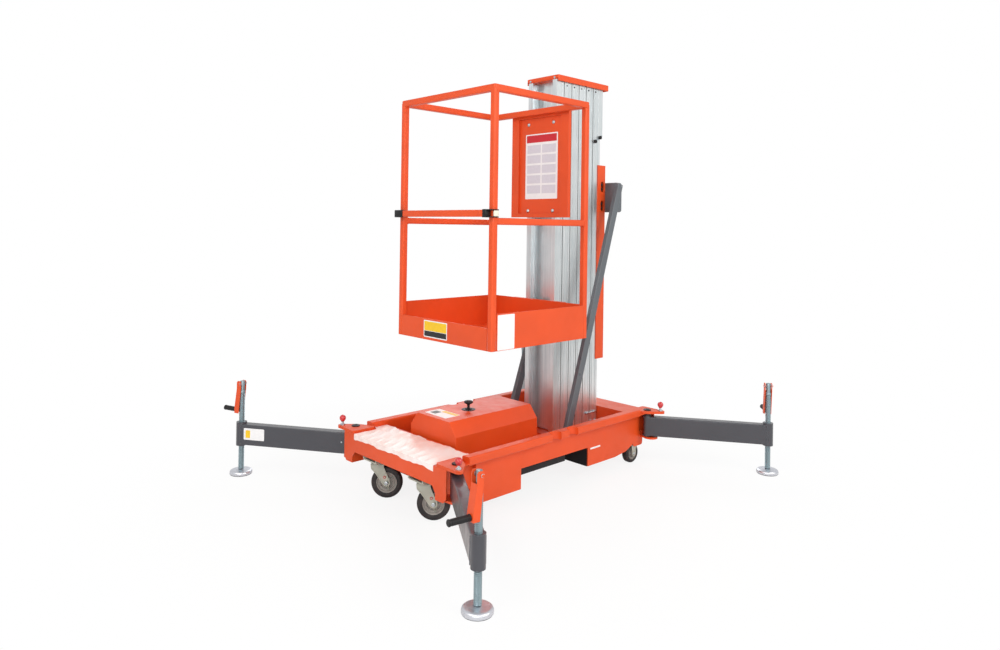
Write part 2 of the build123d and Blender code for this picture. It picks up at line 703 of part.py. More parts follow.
cheek = wheel_w / 2 + cheek_gap
fork_half = cheek + cheek_t
rear_cheek = rear_wheel_w / 2 + cheek_gap
rear_fork_half = rear_cheek + cheek_t
for sx, side in ((1, "r"), (-1, "l")):
    # Drawn about the pivot, trailing along +X, then turned
    at = Location((sx * caster_x, -caster_y, 0), (0, 0, caster_turn))
    with BuildPart() as fork:
        post(0, 0, fork_top - 10, fork_top, 30)
        block(-28, 40, -fork_half, fork_half, fork_top - 14, fork_top - 8)
        for y0 in (fork_half, -cheek):
            with BuildSketch(Plane.XZ.offset(-y0)):
                with Locations((caster_trail, wheel_r)):
                    Circle(15)
                with Locations((-16, fork_top - 20), (28, fork_top - 20)):
                    Circle(12)
                make_hull()
            extrude(amount=cheek_t)
        with Locations((caster_trail, 0, wheel_r)):
            Cylinder(axle_r, 2 * fork_half + 6, rotation=(90, 0, 0))
    save("caster_fork_" + side, fork.part.moved(at))
    tyre, hub = wheel(wheel_r, wheel_w)
    axle = Location((caster_trail, 0, wheel_r))
    save("caster_tyre_" + side, tyre.moved(axle).moved(at))
    save("caster_hub_" + side, hub.moved(axle).moved(at))
    tyre, hub = wheel(rear_wheel_r, rear_wheel_w)
    at = Location((sx * rear_wheel_x, rear_wheel_y, rear_wheel_r), (0, 0, 90))
    save("rear_tyre_" + side, tyre.moved(at))
    save("rear_hub_" + side, hub.moved(at))

# Caster plates and rear wheel brackets, fixed under the tray
plate_half_w = caster_plate_w / 2
with BuildPart() as mounts:
    for sx in (-1, 1):
        with BuildSketch(Plane.XY.offset(fork_top + run)):
            with Locations((sx * caster_x, -caster_y)):
                Rectangle(caster_plate_w, caster_plate_l)
        extrude(amount=6 - run)
        for x0 in (sx * caster_x - plate_half_w, sx * caster_x + plate_half_w - 6):
            block(x0, x0 + 6, -half_len + sheet, front_box_y, fork_top + 6, deck_top - sheet)
save("caster_mounts", mounts.part)
with BuildPart() as brackets:
    for sx in (-1, 1):
        rx = sx * rear_wheel_x
        for x0 in (rx - rear_fork_half, rx + rear_cheek):
            with BuildSketch(Plane.YZ.offset(x0)):
                with Locations((rear_wheel_y, rear_wheel_r)):
                    Circle(14)
                with Locations((rear_wheel_y - 14, floor_z - 12), (rear_wheel_y + 14, floor_z - 12)):
                    Circle(12)
                make_hull()
            extrude(amount=cheek_t)
        block(rx - rear_fork_half, rx + rear_fork_half, rear_wheel_y - 26, rear_wheel_y + 26,
              floor_z - cheek_t, floor_z)
        with Locations((rx, rear_wheel_y, rear_wheel_r)):
            Cylinder(axle_r, 2 * rear_fork_half - 1, rotation=(0, 90, 0))
save("rear_wheel_brackets", brackets.part)
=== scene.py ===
import json
from math import cos, pi, radians, sin

import bmesh
import bpy
from mathutils import Matrix, Vector

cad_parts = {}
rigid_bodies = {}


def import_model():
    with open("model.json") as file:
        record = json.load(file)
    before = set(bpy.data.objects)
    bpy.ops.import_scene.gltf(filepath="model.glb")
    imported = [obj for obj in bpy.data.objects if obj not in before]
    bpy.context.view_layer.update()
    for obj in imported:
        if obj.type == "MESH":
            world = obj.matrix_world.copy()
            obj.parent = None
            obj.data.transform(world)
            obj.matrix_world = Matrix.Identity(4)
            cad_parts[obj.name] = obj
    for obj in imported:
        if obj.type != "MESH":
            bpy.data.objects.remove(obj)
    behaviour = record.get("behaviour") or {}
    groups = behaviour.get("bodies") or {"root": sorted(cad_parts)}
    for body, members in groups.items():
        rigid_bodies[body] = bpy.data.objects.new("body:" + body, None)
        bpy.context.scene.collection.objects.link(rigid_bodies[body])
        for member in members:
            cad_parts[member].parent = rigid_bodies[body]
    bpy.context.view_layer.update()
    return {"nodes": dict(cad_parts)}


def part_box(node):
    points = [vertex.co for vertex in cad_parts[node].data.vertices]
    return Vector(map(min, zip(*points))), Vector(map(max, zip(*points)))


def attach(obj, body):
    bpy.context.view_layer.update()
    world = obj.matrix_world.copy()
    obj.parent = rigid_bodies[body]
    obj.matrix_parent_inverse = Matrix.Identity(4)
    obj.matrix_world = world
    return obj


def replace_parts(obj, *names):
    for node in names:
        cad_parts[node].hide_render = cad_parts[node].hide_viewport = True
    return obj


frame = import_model()
nodes = frame["nodes"]

# Camera and daylight studio. The photograph is a cut-out on white, taken from the machine's
# front right at chest height, with the lens axis above the picture's centre.
scene = bpy.context.scene
scene.view_settings.view_transform = "Standard"
yaw, pitch, roll = radians(46.39), radians(0.40), radians(0.82)
eye = Vector((2.56345, -2.52407, 1.21345))
photo_w, photo_h = 1000, 650
lens_px = 723.52
axis_px = (495.66, 221.79)

camera = bpy.data.objects.new("camera", bpy.data.cameras.new("camera"))
scene.collection.objects.link(camera)
scene.camera = camera
turn = Matrix.Rotation(yaw, 4, "Z") @ Matrix.Rotation(pi / 2 + pitch, 4, "X")
camera.matrix_world = Matrix.Translation(eye) @ turn @ Matrix.Rotation(roll, 4, "Z")
sensor_mm = 36
camera.data.sensor_width = sensor_mm
camera.data.lens = lens_px * sensor_mm / photo_w
camera.data.shift_x = (photo_w / 2 - axis_px[0]) / photo_w
camera.data.shift_y = (axis_px[1] - photo_h / 2) / photo_w


def linear(code):
    """An sRGB hex colour as linear RGBA."""
    parts = [int(code[i:i + 2], 16) / 255 for i in (1, 3, 5)]
    return tuple(c / 12.92 if c <= 0.04045 else ((c + 0.055) / 1.055) ** 2.4 for c in parts) + (1.0,)


def node(tree, kind, inputs=None, **settings):
    """Add a shader node with its settings, and its inputs as values or as links."""
    made = tree.nodes.new("ShaderNode" + kind)
    for name, value in settings.items():
        setattr(made, name, value)
    for name, value in (inputs or {}).items():
        if isinstance(value, bpy.types.NodeSocket):
            tree.links.new(value, made.inputs[name])
        else:
            made.inputs[name].default_value = value
    return made


def area_lamp(name, place, target, size, power, colour):
    """A square soft box that looks at the target."""
    lamp = bpy.data.objects.new(name, bpy.data.lights.new(name, "AREA"))
    scene.collection.objects.link(lamp)
    lamp.data.size = size
    lamp.data.energy = power
    lamp.data.color = linear(colour)[:3]
    look = Vector(target) - Vector(place)
    lamp.matrix_world = Matrix.Translation(place) @ look.to_track_quat("-Z", "Y").to_matrix().to_4x4()


area_lamp("key", (0.6, -4.6, 4.2), (0, 0, 0.8), 2.6, 84, "#FFFAF4")
area_lamp("side", (4.8, 0.8, 3.2), (0, 0, 0.8), 2.6, 104, "#FFFBF2")
area_lamp("fill", (3.4, -3.6, 2.0), (0, 0, 0.5), 2.2, 52, "#FFFFFF")
area_lamp("back", (-3.6, 3.4, 3.4), (0, 0, 1.0), 2.4, 60, "#FFFFFF")

# White behind the object and in its reflections, and a lower level of light on it
world = bpy.data.worlds.new("studio")
scene.world = world
world.use_nodes = True
tree = world.node_tree
seen = node(tree, "LightPath").outputs
dim = node(tree, "Math", {0: seen["Is Glossy Ray"], 1: 0.22, 2: 0.59}, operation="MULTIPLY_ADD")
level = node(tree, "Math", {0: dim.outputs[0], 1: seen["Is Camera Ray"]}, operation="MAXIMUM")
tree.links.new(level.outputs[0], tree.nodes["Background"].inputs["Strength"])
tree.nodes["Background"].inputs["Color"].default_value = linear("#FFFFFF")

# Floor: matt white paper, which keeps a faint shadow under the machine
bpy.ops.object.select_all(action="DESELECT")
bpy.ops.mesh.primitive_circle_add(vertices=96, radius=40, fill_type="NGON", location=(0, 0, 0))
floor = bpy.context.object
floor.name = "studio_floor"
paper = bpy.data.materials.new("white_backdrop_paper")
paper.use_nodes = True
tree = paper.node_tree
tree.nodes.remove(tree.nodes["Principled BSDF"])
seen = node(tree, "LightPath").outputs
spot = node(tree, "TexCoord").outputs["Object"]
reach = node(tree, "VectorMath", {0: spot}, operation="LENGTH")
blend = node(tree, "MapRange", {"Value": reach.outputs["Value"], "From Min": 0.8, "From Max": 1.9,
                                "To Min": 0.86})
share = node(tree, "Math", {0: seen["Is Camera Ray"], 1: blend.outputs[0]}, operation="MULTIPLY")
matt = node(tree, "BsdfDiffuse", {"Color": linear("#F4F4F4")})
bright = node(tree, "Emission", {"Color": linear("#FFFFFF"), "Strength": 1.0})
mixed = node(tree, "MixShader", {0: share.outputs[0], 1: matt.outputs[0], 2: bright.outputs[0]})
tree.links.new(mixed.outputs[0], tree.nodes["Material Output"].inputs["Surface"])
floor.data.materials.append(paper)


# Chassis tray: welded 4 mm sheet steel, powder coated orange-red, which gives a satin shell
# with soft highlights on its folds. The mast stands in it and the outriggers hang on its ears.
tray_low, tray_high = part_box("chassis_tray")
mid = (tray_low.x + tray_high.x) / 2


def finish(name, inputs):
    """A new material, its node tree, its shader with plain values, and the spot that patterns read."""
    made = bpy.data.materials.new(name)
    made.use_nodes = True
    shader = made.node_tree.nodes["Principled BSDF"]
    for key, value in inputs.items():
        shader.inputs[key].default_value = value
    return made, made.node_tree, shader, node(made.node_tree, "TexCoord").outputs["Object"]


def paint(name, code, edge_highlight_code, roughness, gloss, edge=0.0015):
    """A sprayed coat: slow drift of tone, fine orange peel and a painted highlight line on edges."""
    made, tree, shader, spot = finish(name, {"IOR": 1.41, "Coat Weight": gloss, "Coat Roughness": 0.22})
    # The tone drifts over 200 mm, and rubbed patches are 45 mm across
    drift = node(tree, "TexNoise", {"Vector": spot, "Scale": 5.0, "Detail": 3.0})
    tone = node(tree, "MapRange", {"Value": drift.outputs[0], "From Min": 0.3, "From Max": 0.7,
                                   "To Min": 0.93, "To Max": 1.05})
    shade = node(tree, "VectorMath", {0: linear(code)[:3], "Scale": tone.outputs[0]}, operation="SCALE")
    # The edges are rounded in the normal, and a lighter colour painted on them is a painted highlight line
    round_edge = node(tree, "Bevel", {"Radius": edge}, samples=4)
    flat = node(tree, "NewGeometry")
    bent = node(tree, "VectorMath", {0: round_edge.outputs[0], 1: flat.outputs["Normal"]},
                operation="DOT_PRODUCT")
    painted_highlight = node(tree, "MapRange", {"Value": bent.outputs["Value"], "From Min": 0.99, "From Max": 0.75,
                                   "To Max": 0.55})
    colour = node(tree, "Mix", {"Factor": painted_highlight.outputs[0], "A": shade.outputs[0], "B": linear(edge_highlight_code)},
                  data_type="RGBA")
    tree.links.new(colour.outputs[2], shader.inputs["Base Color"])
    # Orange peel is about 2 mm across, drawn at 5 mm so that it shows
    peel = node(tree, "TexNoise", {"Vector": spot, "Scale": 200.0, "Detail": 2.0})
    rub = node(tree, "TexNoise", {"Vector": spot, "Scale": 22.0, "Detail": 5.0})
    dull = node(tree, "MapRange", {"Value": rub.outputs[0], "From Min": 0.3, "From Max": 0.7,
                                   "To Min": roughness - 0.07, "To Max": roughness + 0.09})
    tree.links.new(dull.outputs[0], shader.inputs["Roughness"])
    bump = node(tree, "Bump", {"Height": peel.outputs[0], "Strength": 0.12, "Distance": 0.0004,
                               "Normal": round_edge.outputs[0]})
    tree.links.new(bump.outputs[0], shader.inputs["Normal"])
    return made


def dress(material, *names):
    """Give CAD nodes a finish."""
    for name in names:
        nodes[name].data.materials.clear()
        nodes[name].data.materials.append(material)


# The lighter second colour is a painted highlight line on the edges
powder_coat = paint("powder_coated_steel", "#E2501E", "#F28558", 0.42, 0.08)
dress(powder_coat, "chassis_tray")


def at(x, y, z):
    """A point in metres, given in millimetres from the machine's middle, the centre and the floor."""
    return Vector((mid + x / 1000, y / 1000, z / 1000))


# Black closing plates as painted shade: the front of the rear box and the belly pan are matt black sheet,
# put where the gap under the rails lies in shade, so that it reads dark. They are tacked on from below.
black_enamel_and_shade = paint("black_enamel_and_painted_shade", "#17161A", "#2C2B30", 0.55, 0.0)
dress(black_enamel_and_shade, "belly_pan")


def clear_selection():
    """Back to object mode, with nothing selected."""
    if bpy.context.mode != "OBJECT":
        bpy.ops.object.mode_set(mode="OBJECT")
    bpy.ops.object.select_all(action="DESELECT")


def pick(kind, wanted):
    """In edit mode, select the faces, edges or verts that pass the test, and nothing else."""
    bpy.ops.mesh.select_mode(type=kind[:-1].upper())
    bpy.ops.mesh.select_all(action="DESELECT")
    shape = bmesh.from_edit_mesh(bpy.context.object.data)
    for part in getattr(shape, kind):
        if wanted(part):
            part.select_set(True)
    bmesh.update_edit_mesh(bpy.context.object.data)


def settle(name, body, material, smooth=35):
    """End a piece: fix its place in its mesh, shade and dress it, and let it ride."""
    piece = bpy.context.object
    bpy.ops.object.mode_set(mode="OBJECT")
    bpy.ops.object.transform_apply()
    piece.name = piece.data.name = name
    piece.data.materials.append(material)
    bpy.ops.object.shade_smooth_by_angle(angle=radians(smooth))
    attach(piece, body)
    return piece


# The plate on the rear box's front is a black sheet of painted shade
rear_box_front, skirt_half = 215, 320
plate_z, plate_thick, plate_high = 109, 0.0016, 0.084
clear_selection()
bpy.ops.mesh.primitive_cube_add(size=1, location=at(0, rear_box_front - 2, plate_z))
bpy.ops.transform.resize(value=(2 * skirt_half / 1000, plate_thick, plate_high))
bpy.ops.object.mode_set(mode="EDIT")
pick("faces", lambda f: f.normal.y < -0.9)
bpy.ops.mesh.inset(thickness=0.012)
bpy.ops.mesh.inset(thickness=0.004, depth=-0.0008)
settle("rear_box_closing_plate", "chassis", black_enamel_and_shade)

# Fasteners: zinc-plated hex bolts on washers, bright with a bluish cast and slightly mottled
# where the plating took. One bolt is modelled and copied wherever the real ones show.
zinc, tree, shader, spot = finish("zinc_plated_steel", {"Metallic": 1.0})
# Crystals of the plating, drawn at 6 mm so that they show, in clouds of 70 mm
mottle = node(tree, "TexVoronoi", {"Vector": spot, "Scale": 160.0})
bath = node(tree, "TexNoise", {"Vector": spot, "Scale": 14.0, "Detail": 4.0})
tone = node(tree, "MapRange", {"Value": bath.outputs[0], "From Min": 0.3, "From Max": 0.7})
colour = node(tree, "Mix", {"Factor": tone.outputs[0], "A": linear("#B4BFC6"), "B": linear("#D2D8DB")},
              data_type="RGBA")
tree.links.new(colour.outputs[2], shader.inputs["Base Color"])
dull = node(tree, "MapRange", {"Value": mottle.outputs["Distance"], "From Max": 0.8, "To Min": 0.24,
                               "To Max": 0.38})
tree.links.new(dull.outputs[0], shader.inputs["Roughness"])
round_edge = node(tree, "Bevel", {"Radius": 0.0008}, samples=4)
tree.links.new(round_edge.outputs[0], shader.inputs["Normal"])

bolt_r, bolt_h, washer_r, washer_h = 0.0085, 0.0065, 0.012, 0.002
clear_selection()
bpy.ops.mesh.primitive_cylinder_add(vertices=6, radius=bolt_r, depth=bolt_h,
                                    location=(0, 0, washer_h + bolt_h / 2))
bpy.ops.object.mode_set(mode="EDIT")
pick("faces", lambda f: f.normal.z > 0.9)
bpy.ops.mesh.inset(thickness=0.0016)
bpy.ops.transform.translate(value=(0, 0, 0.0007))
pick("faces", lambda f: f.normal.z < -0.9)
bpy.ops.mesh.delete(type="FACE")
bpy.ops.mesh.primitive_cylinder_add(vertices=24, radius=washer_r, depth=washer_h,
                                    location=(0, 0, washer_h / 2))
bpy.ops.object.mode_set(mode="OBJECT")
bolt = bpy.context.object
bolt.name = "bolt_pattern"


def copies(piece, name, body, places, material=None):
    """Copies of a piece joined in one object with its own mesh. A bare piece is given a finish."""
    clear_selection()
    made = []
    for place in places:
        twin = piece.copy()
        twin.data = piece.data.copy()
        twin.parent = None
        twin.matrix_world = Matrix.Identity(4)
        twin.data.transform(place)
        scene.collection.objects.link(twin)
        twin.select_set(True)
        made.append(twin)
    whole = bpy.context.view_layer.objects.active = made[0]
    if len(made) > 1:
        bpy.ops.object.join()
    whole.name = whole.data.name = name
    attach(whole, body)
    if material:
        whole.data.materials.append(material)
    return whole


def facing(place, direction, spin=0.0):
    """The matrix that stands a piece drawn up +Z on a place, turned to a direction."""
    aim = Vector(direction).to_track_quat("Z", "Y").to_matrix().to_4x4()
    return Matrix.Translation(place) @ aim @ Matrix.Rotation(radians(spin), 4, "Z")


def bolts(name, body, places, size=1.0, material=zinc):
    """Bolts on a body, given by place and direction, with each head turned a little differently."""
    stands = [facing(p, d, 37 * i) @ Matrix.Scale(size, 4) for i, (p, d) in enumerate(places)]
    copies(bolt, name, body, stands, material)


# Deck film: the thin protective film still lies on the front deck, milky with a pink cast
# from the paint below, ragged where it was torn and creased along its length.
film, tree, shader, spot = finish("protective_polyethylene_film", {"Roughness": 0.33, "IOR": 1.51})
# It clings in patches of 140 mm, and its fine creases are 17 mm apart
cling = node(tree, "TexNoise", {"Vector": spot, "Scale": 7.0, "Detail": 6.0, "Roughness": 0.6})
wet = node(tree, "ValToRGB", {"Fac": cling.outputs[0]})
wet.color_ramp.elements[0].position = 0.34
wet.color_ramp.elements[0].color = linear("#F5D2C8")
wet.color_ramp.elements[1].position = 0.58
wet.color_ramp.elements[1].color = linear("#FBF1EE")
tree.links.new(wet.outputs[0], shader.inputs["Base Color"])
crease = node(tree, "TexNoise", {"Vector": spot, "Scale": 60.0, "Detail": 5.0, "Distortion": 1.4})
bump = node(tree, "Bump", {"Height": crease.outputs[0], "Strength": 0.5, "Distance": 0.001})
tree.links.new(bump.outputs[0], shader.inputs["Normal"])

film_low, film_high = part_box("deck_film")
film_front, film_back = film_low.y, film_high.y
film_z = film_low.z
lip_drop, film_thick, back_gap = 0.020, 0.00025, 0.008
film_wide, film_narrow = film_high.x - mid - 0.002, 0.286
ears_end = -0.585
film_rows, film_columns, lip_rows = 60, 130, 8


def torn_edge(t, torn, phase):
    """How far a torn edge wanders, in metres, at the share t of the film's width."""
    waves = sin(2 * pi * (3.1 * t + phase)) + 0.5 * sin(2 * pi * (6.3 * t + 2 * phase))
    return torn * (waves + 0.3 * sin(2 * pi * (13.1 * t + phase)))


# One sheet: it hangs over the front edge, lies on the deck and widens behind the ears
clear_selection()
bpy.ops.mesh.primitive_grid_add(x_subdivisions=film_columns, y_subdivisions=film_rows, size=1)
deck_film = bpy.context.object
row = 1 / film_rows
lip_share = lip_rows * row
for v in deck_film.data.vertices:
    s, t = v.co.x + 0.5, v.co.y + 0.5
    back = film_back - max(0.001, back_gap + torn_edge(s, 0.005, 0.55))
    if t < lip_share - row / 2:
        y = film_front - 0.0026 - 0.0008 * sin(60 * s)
        z = film_z - (lip_drop + torn_edge(s, 0.0028, 0.1)) * (1 - t / lip_share)
    else:
        deck_share = (t - lip_share) / (1 - lip_share)
        y = film_front - 0.0022 + (back - film_front + 0.0022) * deck_share
        fold = 0.0011 * sin(70 * s + 5 * sin(11 * y)) * sin(21 * y + 3) + 0.0006 * sin(95 * y + 60 * s)
        z = film_z + 0.0004 + max(0, fold)
    past = min(1, max(0, (y - ears_end) / 0.012))
    half = film_narrow + (film_wide - film_narrow) * past
    v.co = (mid + (2 * s - 1) * half, y, z)
bpy.ops.object.modifier_add(type="SOLIDIFY")
deck_film.modifiers[0].thickness = film_thick
deck_film.modifiers[0].offset = 1
bpy.ops.object.modifier_apply(modifier=deck_film.modifiers[0].name)
settle("front_deck_film", "chassis", film, 60)
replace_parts(deck_film, "deck_film")
film_area = 2 * film_narrow * (ears_end - film_front + lip_drop)
film_area += 2 * film_wide * (film_back - ears_end - back_gap)

# Outrigger arms: 50 x 98 mm box section in satin dark grey, with a welded end cap and a
# grease nipple at the pivot. Each swings on a pin through the tray's orange ears.
# The pale second colour paints a highlight line along the arms' edges
arm_paint = paint("dark_grey_enamel", "#3E3F46", "#9C9DA8", 0.38, 0.6, 0.0025)
sides = {"fr": (1, -1), "fl": (-1, -1), "rr": (1, 1), "rl": (-1, 1)}
pivot_x, pivot_y = 362, 650
arm_len = 592
arm_half, sleeve_edge, weld_low, weld_high = 0.025, 0.008, 0.150, 0.242
across, along, up = Vector((1, 0, 0)), Vector((0, 1, 0)), Vector((0, 0, 1))
splay = radians(33.8)
jack_x = pivot_x + arm_len * cos(splay)
jack_y = pivot_y + arm_len * sin(splay)
dress(arm_paint, *["arm_" + key for key in sides])


def bead(name, body, line, material, step=0.0032):
    """A weld bead: overlapping drops laid along a row of points."""
    spots = []
    for a, b in zip(line, line[1:]):
        count = max(2, round((b - a).length / step))
        spots += [a.lerp(b, i / count) for i in range(count)]
    copies(drop, name, body, [Matrix.Translation(p) for p in spots], material)


clear_selection()
bpy.ops.mesh.primitive_uv_sphere_add(segments=8, ring_count=5, radius=0.0026)
bpy.ops.object.mode_set(mode="EDIT")
pick("verts", lambda v: v.co.z > 0.001)
bpy.ops.transform.translate(value=(0, 0, -0.0006))
bpy.ops.object.mode_set(mode="OBJECT")
bpy.ops.object.shade_smooth()
drop = bpy.context.object
drop.name = "drop_pattern"

for key, (sx, sy) in sides.items():
    way = Vector((sx * cos(splay), sy * sin(splay), 0))
    off = Vector((-way.y, way.x, 0))
    jack = at(sx * jack_x, sy * jack_y, 0)
    pivot = at(sx * pivot_x, sy * pivot_y, 0)
    # Welds down both sides, where the arm's box meets the sleeve
    for side in (-1, 1):
        seam = jack + off * side * arm_half - way * sleeve_edge
        bead("sleeve_weld_%s_%d" % (key, side), "arm_" + key, [seam + up * z for z in (weld_low, weld_high)],
             arm_paint)
    nipple = pivot + off * 0.0245 + way * 0.06 + up * 0.2
    bolts("grease_nipple_" + key, "arm_" + key, [(nipple, off)], 0.45)


# Label on the front left arm: a blank white vinyl sticker with a small yellow field, laid on
# the arm's outer face beside the jack.
def mottled(name, dark, light, per_metre, detail, inputs):
    """A finish whose tone drifts between two colours in small clouds, so many to the metre."""
    made, tree, shader, spot = finish(name, inputs)
    cloud = node(tree, "TexNoise", {"Vector": spot, "Scale": per_metre, "Detail": detail})
    colour = node(tree, "Mix", {"Factor": cloud.outputs[0], "A": linear(dark), "B": linear(light)},
                  data_type="RGBA")
    tree.links.new(colour.outputs[2], shader.inputs["Base Color"])
    return made


def flat_colour(name, code, roughness, metallic=0.0):
    """An even colour, such as printed ink or a moulding, with a faint mottle of 11 mm."""
    made, tree, shader, spot = finish(name, {"Roughness": roughness, "Metallic": metallic})
    grain = node(tree, "TexNoise", {"Vector": spot, "Scale": 90.0, "Detail": 2.0})
    tone = node(tree, "MapRange", {"Value": grain.outputs[0], "To Min": 0.92, "To Max": 1.06})
    shade = node(tree, "VectorMath", {0: linear(code)[:3], "Scale": tone.outputs[0]}, operation="SCALE")
    tree.links.new(shade.outputs[0], shader.inputs["Base Color"])
    return made


def sticker(name, body, centre, right, rise, width, height, material, corner=0.004):
    """A thin rounded panel that lies on a face, drawn about its centre."""
    clear_selection()
    bpy.ops.mesh.primitive_plane_add(size=1)
    bpy.ops.transform.resize(value=(width, height, 1))
    bpy.ops.object.transform_apply()
    bpy.ops.object.mode_set(mode="EDIT")
    bpy.ops.mesh.bevel(offset=corner, segments=4, affect="VERTICES")
    bpy.ops.mesh.select_all(action="SELECT")
    bpy.ops.mesh.extrude_region_move(TRANSFORM_OT_translate={"value": (0, 0, sticker_thick)})
    bpy.ops.mesh.select_all(action="SELECT")
    bpy.ops.mesh.normals_make_consistent(inside=False)
    bpy.ops.object.mode_set(mode="OBJECT")
    lie = Matrix((right, rise, right.cross(rise))).transposed().to_4x4()
    bpy.context.object.data.transform(Matrix.Translation(centre) @ lie)
    settle(name, body, material)


vinyl = mottled("white_vinyl_sticker", "#E6E6E8", "#F6F6F6", 30.0, 3.0, {"Roughness": 0.32})
sticker_thick, ink_lift = 0.0004, 0.0005
yellow_ink = flat_colour("yellow_print", "#F2C51B", 0.4)
black_ink = flat_colour("black_print", "#1B1A1C", 0.4)
red_ink = flat_colour("red_print", "#C8202E", 0.4)
arm_way = Vector((-cos(splay), -sin(splay), 0))
arm_face = Vector((sin(splay), -cos(splay), 0))
label_at = at(-jack_x, -jack_y, 201) - arm_way * 0.081 + arm_face * (arm_half + 0.0002)
sticker("arm_label", "arm_fl", label_at, -arm_way, up, 0.108, 0.055, vinyl)
sticker("arm_label_field", "arm_fl", label_at + arm_way * 0.032 + arm_face * ink_lift, -arm_way, up,
        0.024, 0.036, yellow_ink, 0.003)

# Pivot pins: 24 mm steel pins, blackened, one through both ears of each corner and the arm
# between them. A low dished cap shows on the deck.
black_oxide = paint("black_oxide_steel", "#242327", "#4A494E", 0.42, 0.0)
clear_selection()
pin_r, pin_len, pin_z = 0.012, 0.146, 0.201
bpy.ops.mesh.primitive_cylinder_add(vertices=40, radius=pin_r, depth=pin_len, location=(0, 0, pin_z))
bpy.ops.object.mode_set(mode="EDIT")
pick("faces", lambda f: f.normal.z > 0.9)
bpy.ops.transform.resize(value=(1.6, 1.6, 1))
bpy.ops.mesh.extrude_region_move(TRANSFORM_OT_translate={"value": (0, 0, 0.004)})
bpy.ops.mesh.inset(thickness=0.002)
bpy.ops.transform.translate(value=(0, 0, 0.0009))
bpy.ops.mesh.inset(thickness=0.009)
bpy.ops.mesh.extrude_region_move(TRANSFORM_OT_translate={"value": (0, 0, -0.002)})
pin = settle("pin_pattern", "chassis", black_oxide)
pin_spots = [Matrix.Translation(at(sx * pivot_x, sy * pivot_y, 0)) for sx, sy in sides.values()]
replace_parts(copies(pin, "pivot_pins", "chassis", pin_spots), "arm_pivot_pins")

# Locking plungers: a glossy red moulded ball, drawn in towards its neck, on a zinc shank in
# a black collar. Each drops through the upper ear to hold its arm.
red_ball = mottled("red_phenolic_knob", "#C4242C", "#D2363A", 55.0, 3.0,
                   {"Roughness": 0.22, "Coat Weight": 0.5, "Coat Roughness": 0.08})


def outline(name, profile, panel=False):
    """A line through points given as x and z, or the flat panel inside them, alone and active."""
    clear_selection()
    mesh = bpy.data.meshes.new(name)
    edges = [] if panel else [(i, i + 1) for i in range(len(profile) - 1)]
    mesh.from_pydata([(x, 0, z) for x, z in profile], edges, [tuple(range(len(profile)))] if panel else [])
    piece = bpy.data.objects.new(name, mesh)
    scene.collection.objects.link(piece)
    piece.select_set(True)
    bpy.context.view_layer.objects.active = piece
    return piece


def turned(name, profile, body, material, place=None, steps=48, smooth=35):
    """A piece turned on a lathe: its half profile, as radius and height, spun about +Z."""
    piece = outline(name, profile)
    bpy.ops.object.mode_set(mode="EDIT")
    bpy.ops.mesh.select_all(action="SELECT")
    bpy.ops.mesh.spin(steps=steps, angle=2 * pi, center=(0, 0, 0), axis=(0, 0, 1))
    bpy.ops.mesh.select_all(action="SELECT")
    bpy.ops.mesh.remove_doubles(threshold=0.00002)
    bpy.ops.mesh.normals_make_consistent(inside=False)
    bpy.ops.object.mode_set(mode="OBJECT")
    if place is not None:
        piece.data.transform(place)
    return settle(name, body, material, smooth)


plunger_gap, plunger_z = 66, 274
ball_r, ball_z = 0.015, 0.0325
ball_angles = [radians(a) for a in range(75, -46, -15)]
ball_profile = [(0.0, ball_z + ball_r)] + [(ball_r * cos(a), ball_z + ball_r * sin(a)) for a in ball_angles]
ball_profile += [(0.0085, 0.0185), (0.0072, 0.0165), (0.0, 0.0165)]
shank_profile = [(0.0, 0.0175), (0.005, 0.0175), (0.005, 0.0062), (0.0105, 0.0062), (0.0112, 0.0055),
                 (0.0112, 0.0), (0.0, 0.0)]
plunger_x, plunger_y = pivot_x + plunger_gap * cos(splay), pivot_y + plunger_gap * sin(splay)
plunger_spots = [Matrix.Translation(at(sx * plunger_x, sy * plunger_y, plunger_z))
                 for sx, sy in sides.values()]
ball = turned("ball_pattern", ball_profile, "chassis", red_ball, smooth=60)
shank = turned("shank_pattern", shank_profile, "chassis", zinc)
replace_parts(copies(ball, "plunger_balls", "chassis", plunger_spots), "arm_plungers")
copies(shank, "plunger_shanks", "chassis", plunger_spots)

# Jack screws: 27 mm zinc-plated rod with a rolled thread of 6 mm pitch and a turned neck, on
# a plated foot pressed from sheet, with a rolled rim and a disc of black rubber beneath it.
chrome, tree, shader, spot = finish("chromed_foot_plate",
                                    {"Base Color": linear("#D4D6DD"), "Metallic": 1.0})
# Scuffs of 40 mm
scuff = node(tree, "TexNoise", {"Vector": spot, "Scale": 26.0, "Detail": 6.0})
dull = node(tree, "MapRange", {"Value": scuff.outputs[0], "From Min": 0.35, "From Max": 0.7,
                               "To Min": 0.34, "To Max": 0.48})
tree.links.new(dull.outputs[0], shader.inputs["Roughness"])

screw_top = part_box("jack_screw_fr")[1].z
rod_r, root_r, neck_r, thread_pitch = 0.0135, 0.0121, 0.0109, 0.006
neck_start = screw_top - 0.045
thread_start, thread_end = 0.021, neck_start - 0.004
tooth = [(root_r, 0.0), (root_r, 0.0012), (rod_r, 0.0024), (rod_r, 0.0036), (root_r, 0.0048),
         (root_r, thread_pitch)]
rod = outline("screw_pattern", [(r, thread_start + z) for r, z in tooth])
bpy.ops.object.modifier_add(type="SCREW")
wind = rod.modifiers[0]
wind.axis = "Z"
wind.angle = 2 * pi
wind.screw_offset = thread_pitch
wind.iterations = int((thread_end - thread_start) / thread_pitch)
wind.steps = wind.render_steps = 20
wind.use_merge_vertices = True
wind.merge_threshold = 0.00001
bpy.ops.object.modifier_apply(modifier=wind.name)
bpy.ops.object.mode_set(mode="EDIT")
bpy.ops.mesh.select_all(action="SELECT")
bpy.ops.mesh.remove_doubles(threshold=0.00001)
bpy.ops.mesh.normals_make_consistent(inside=False)
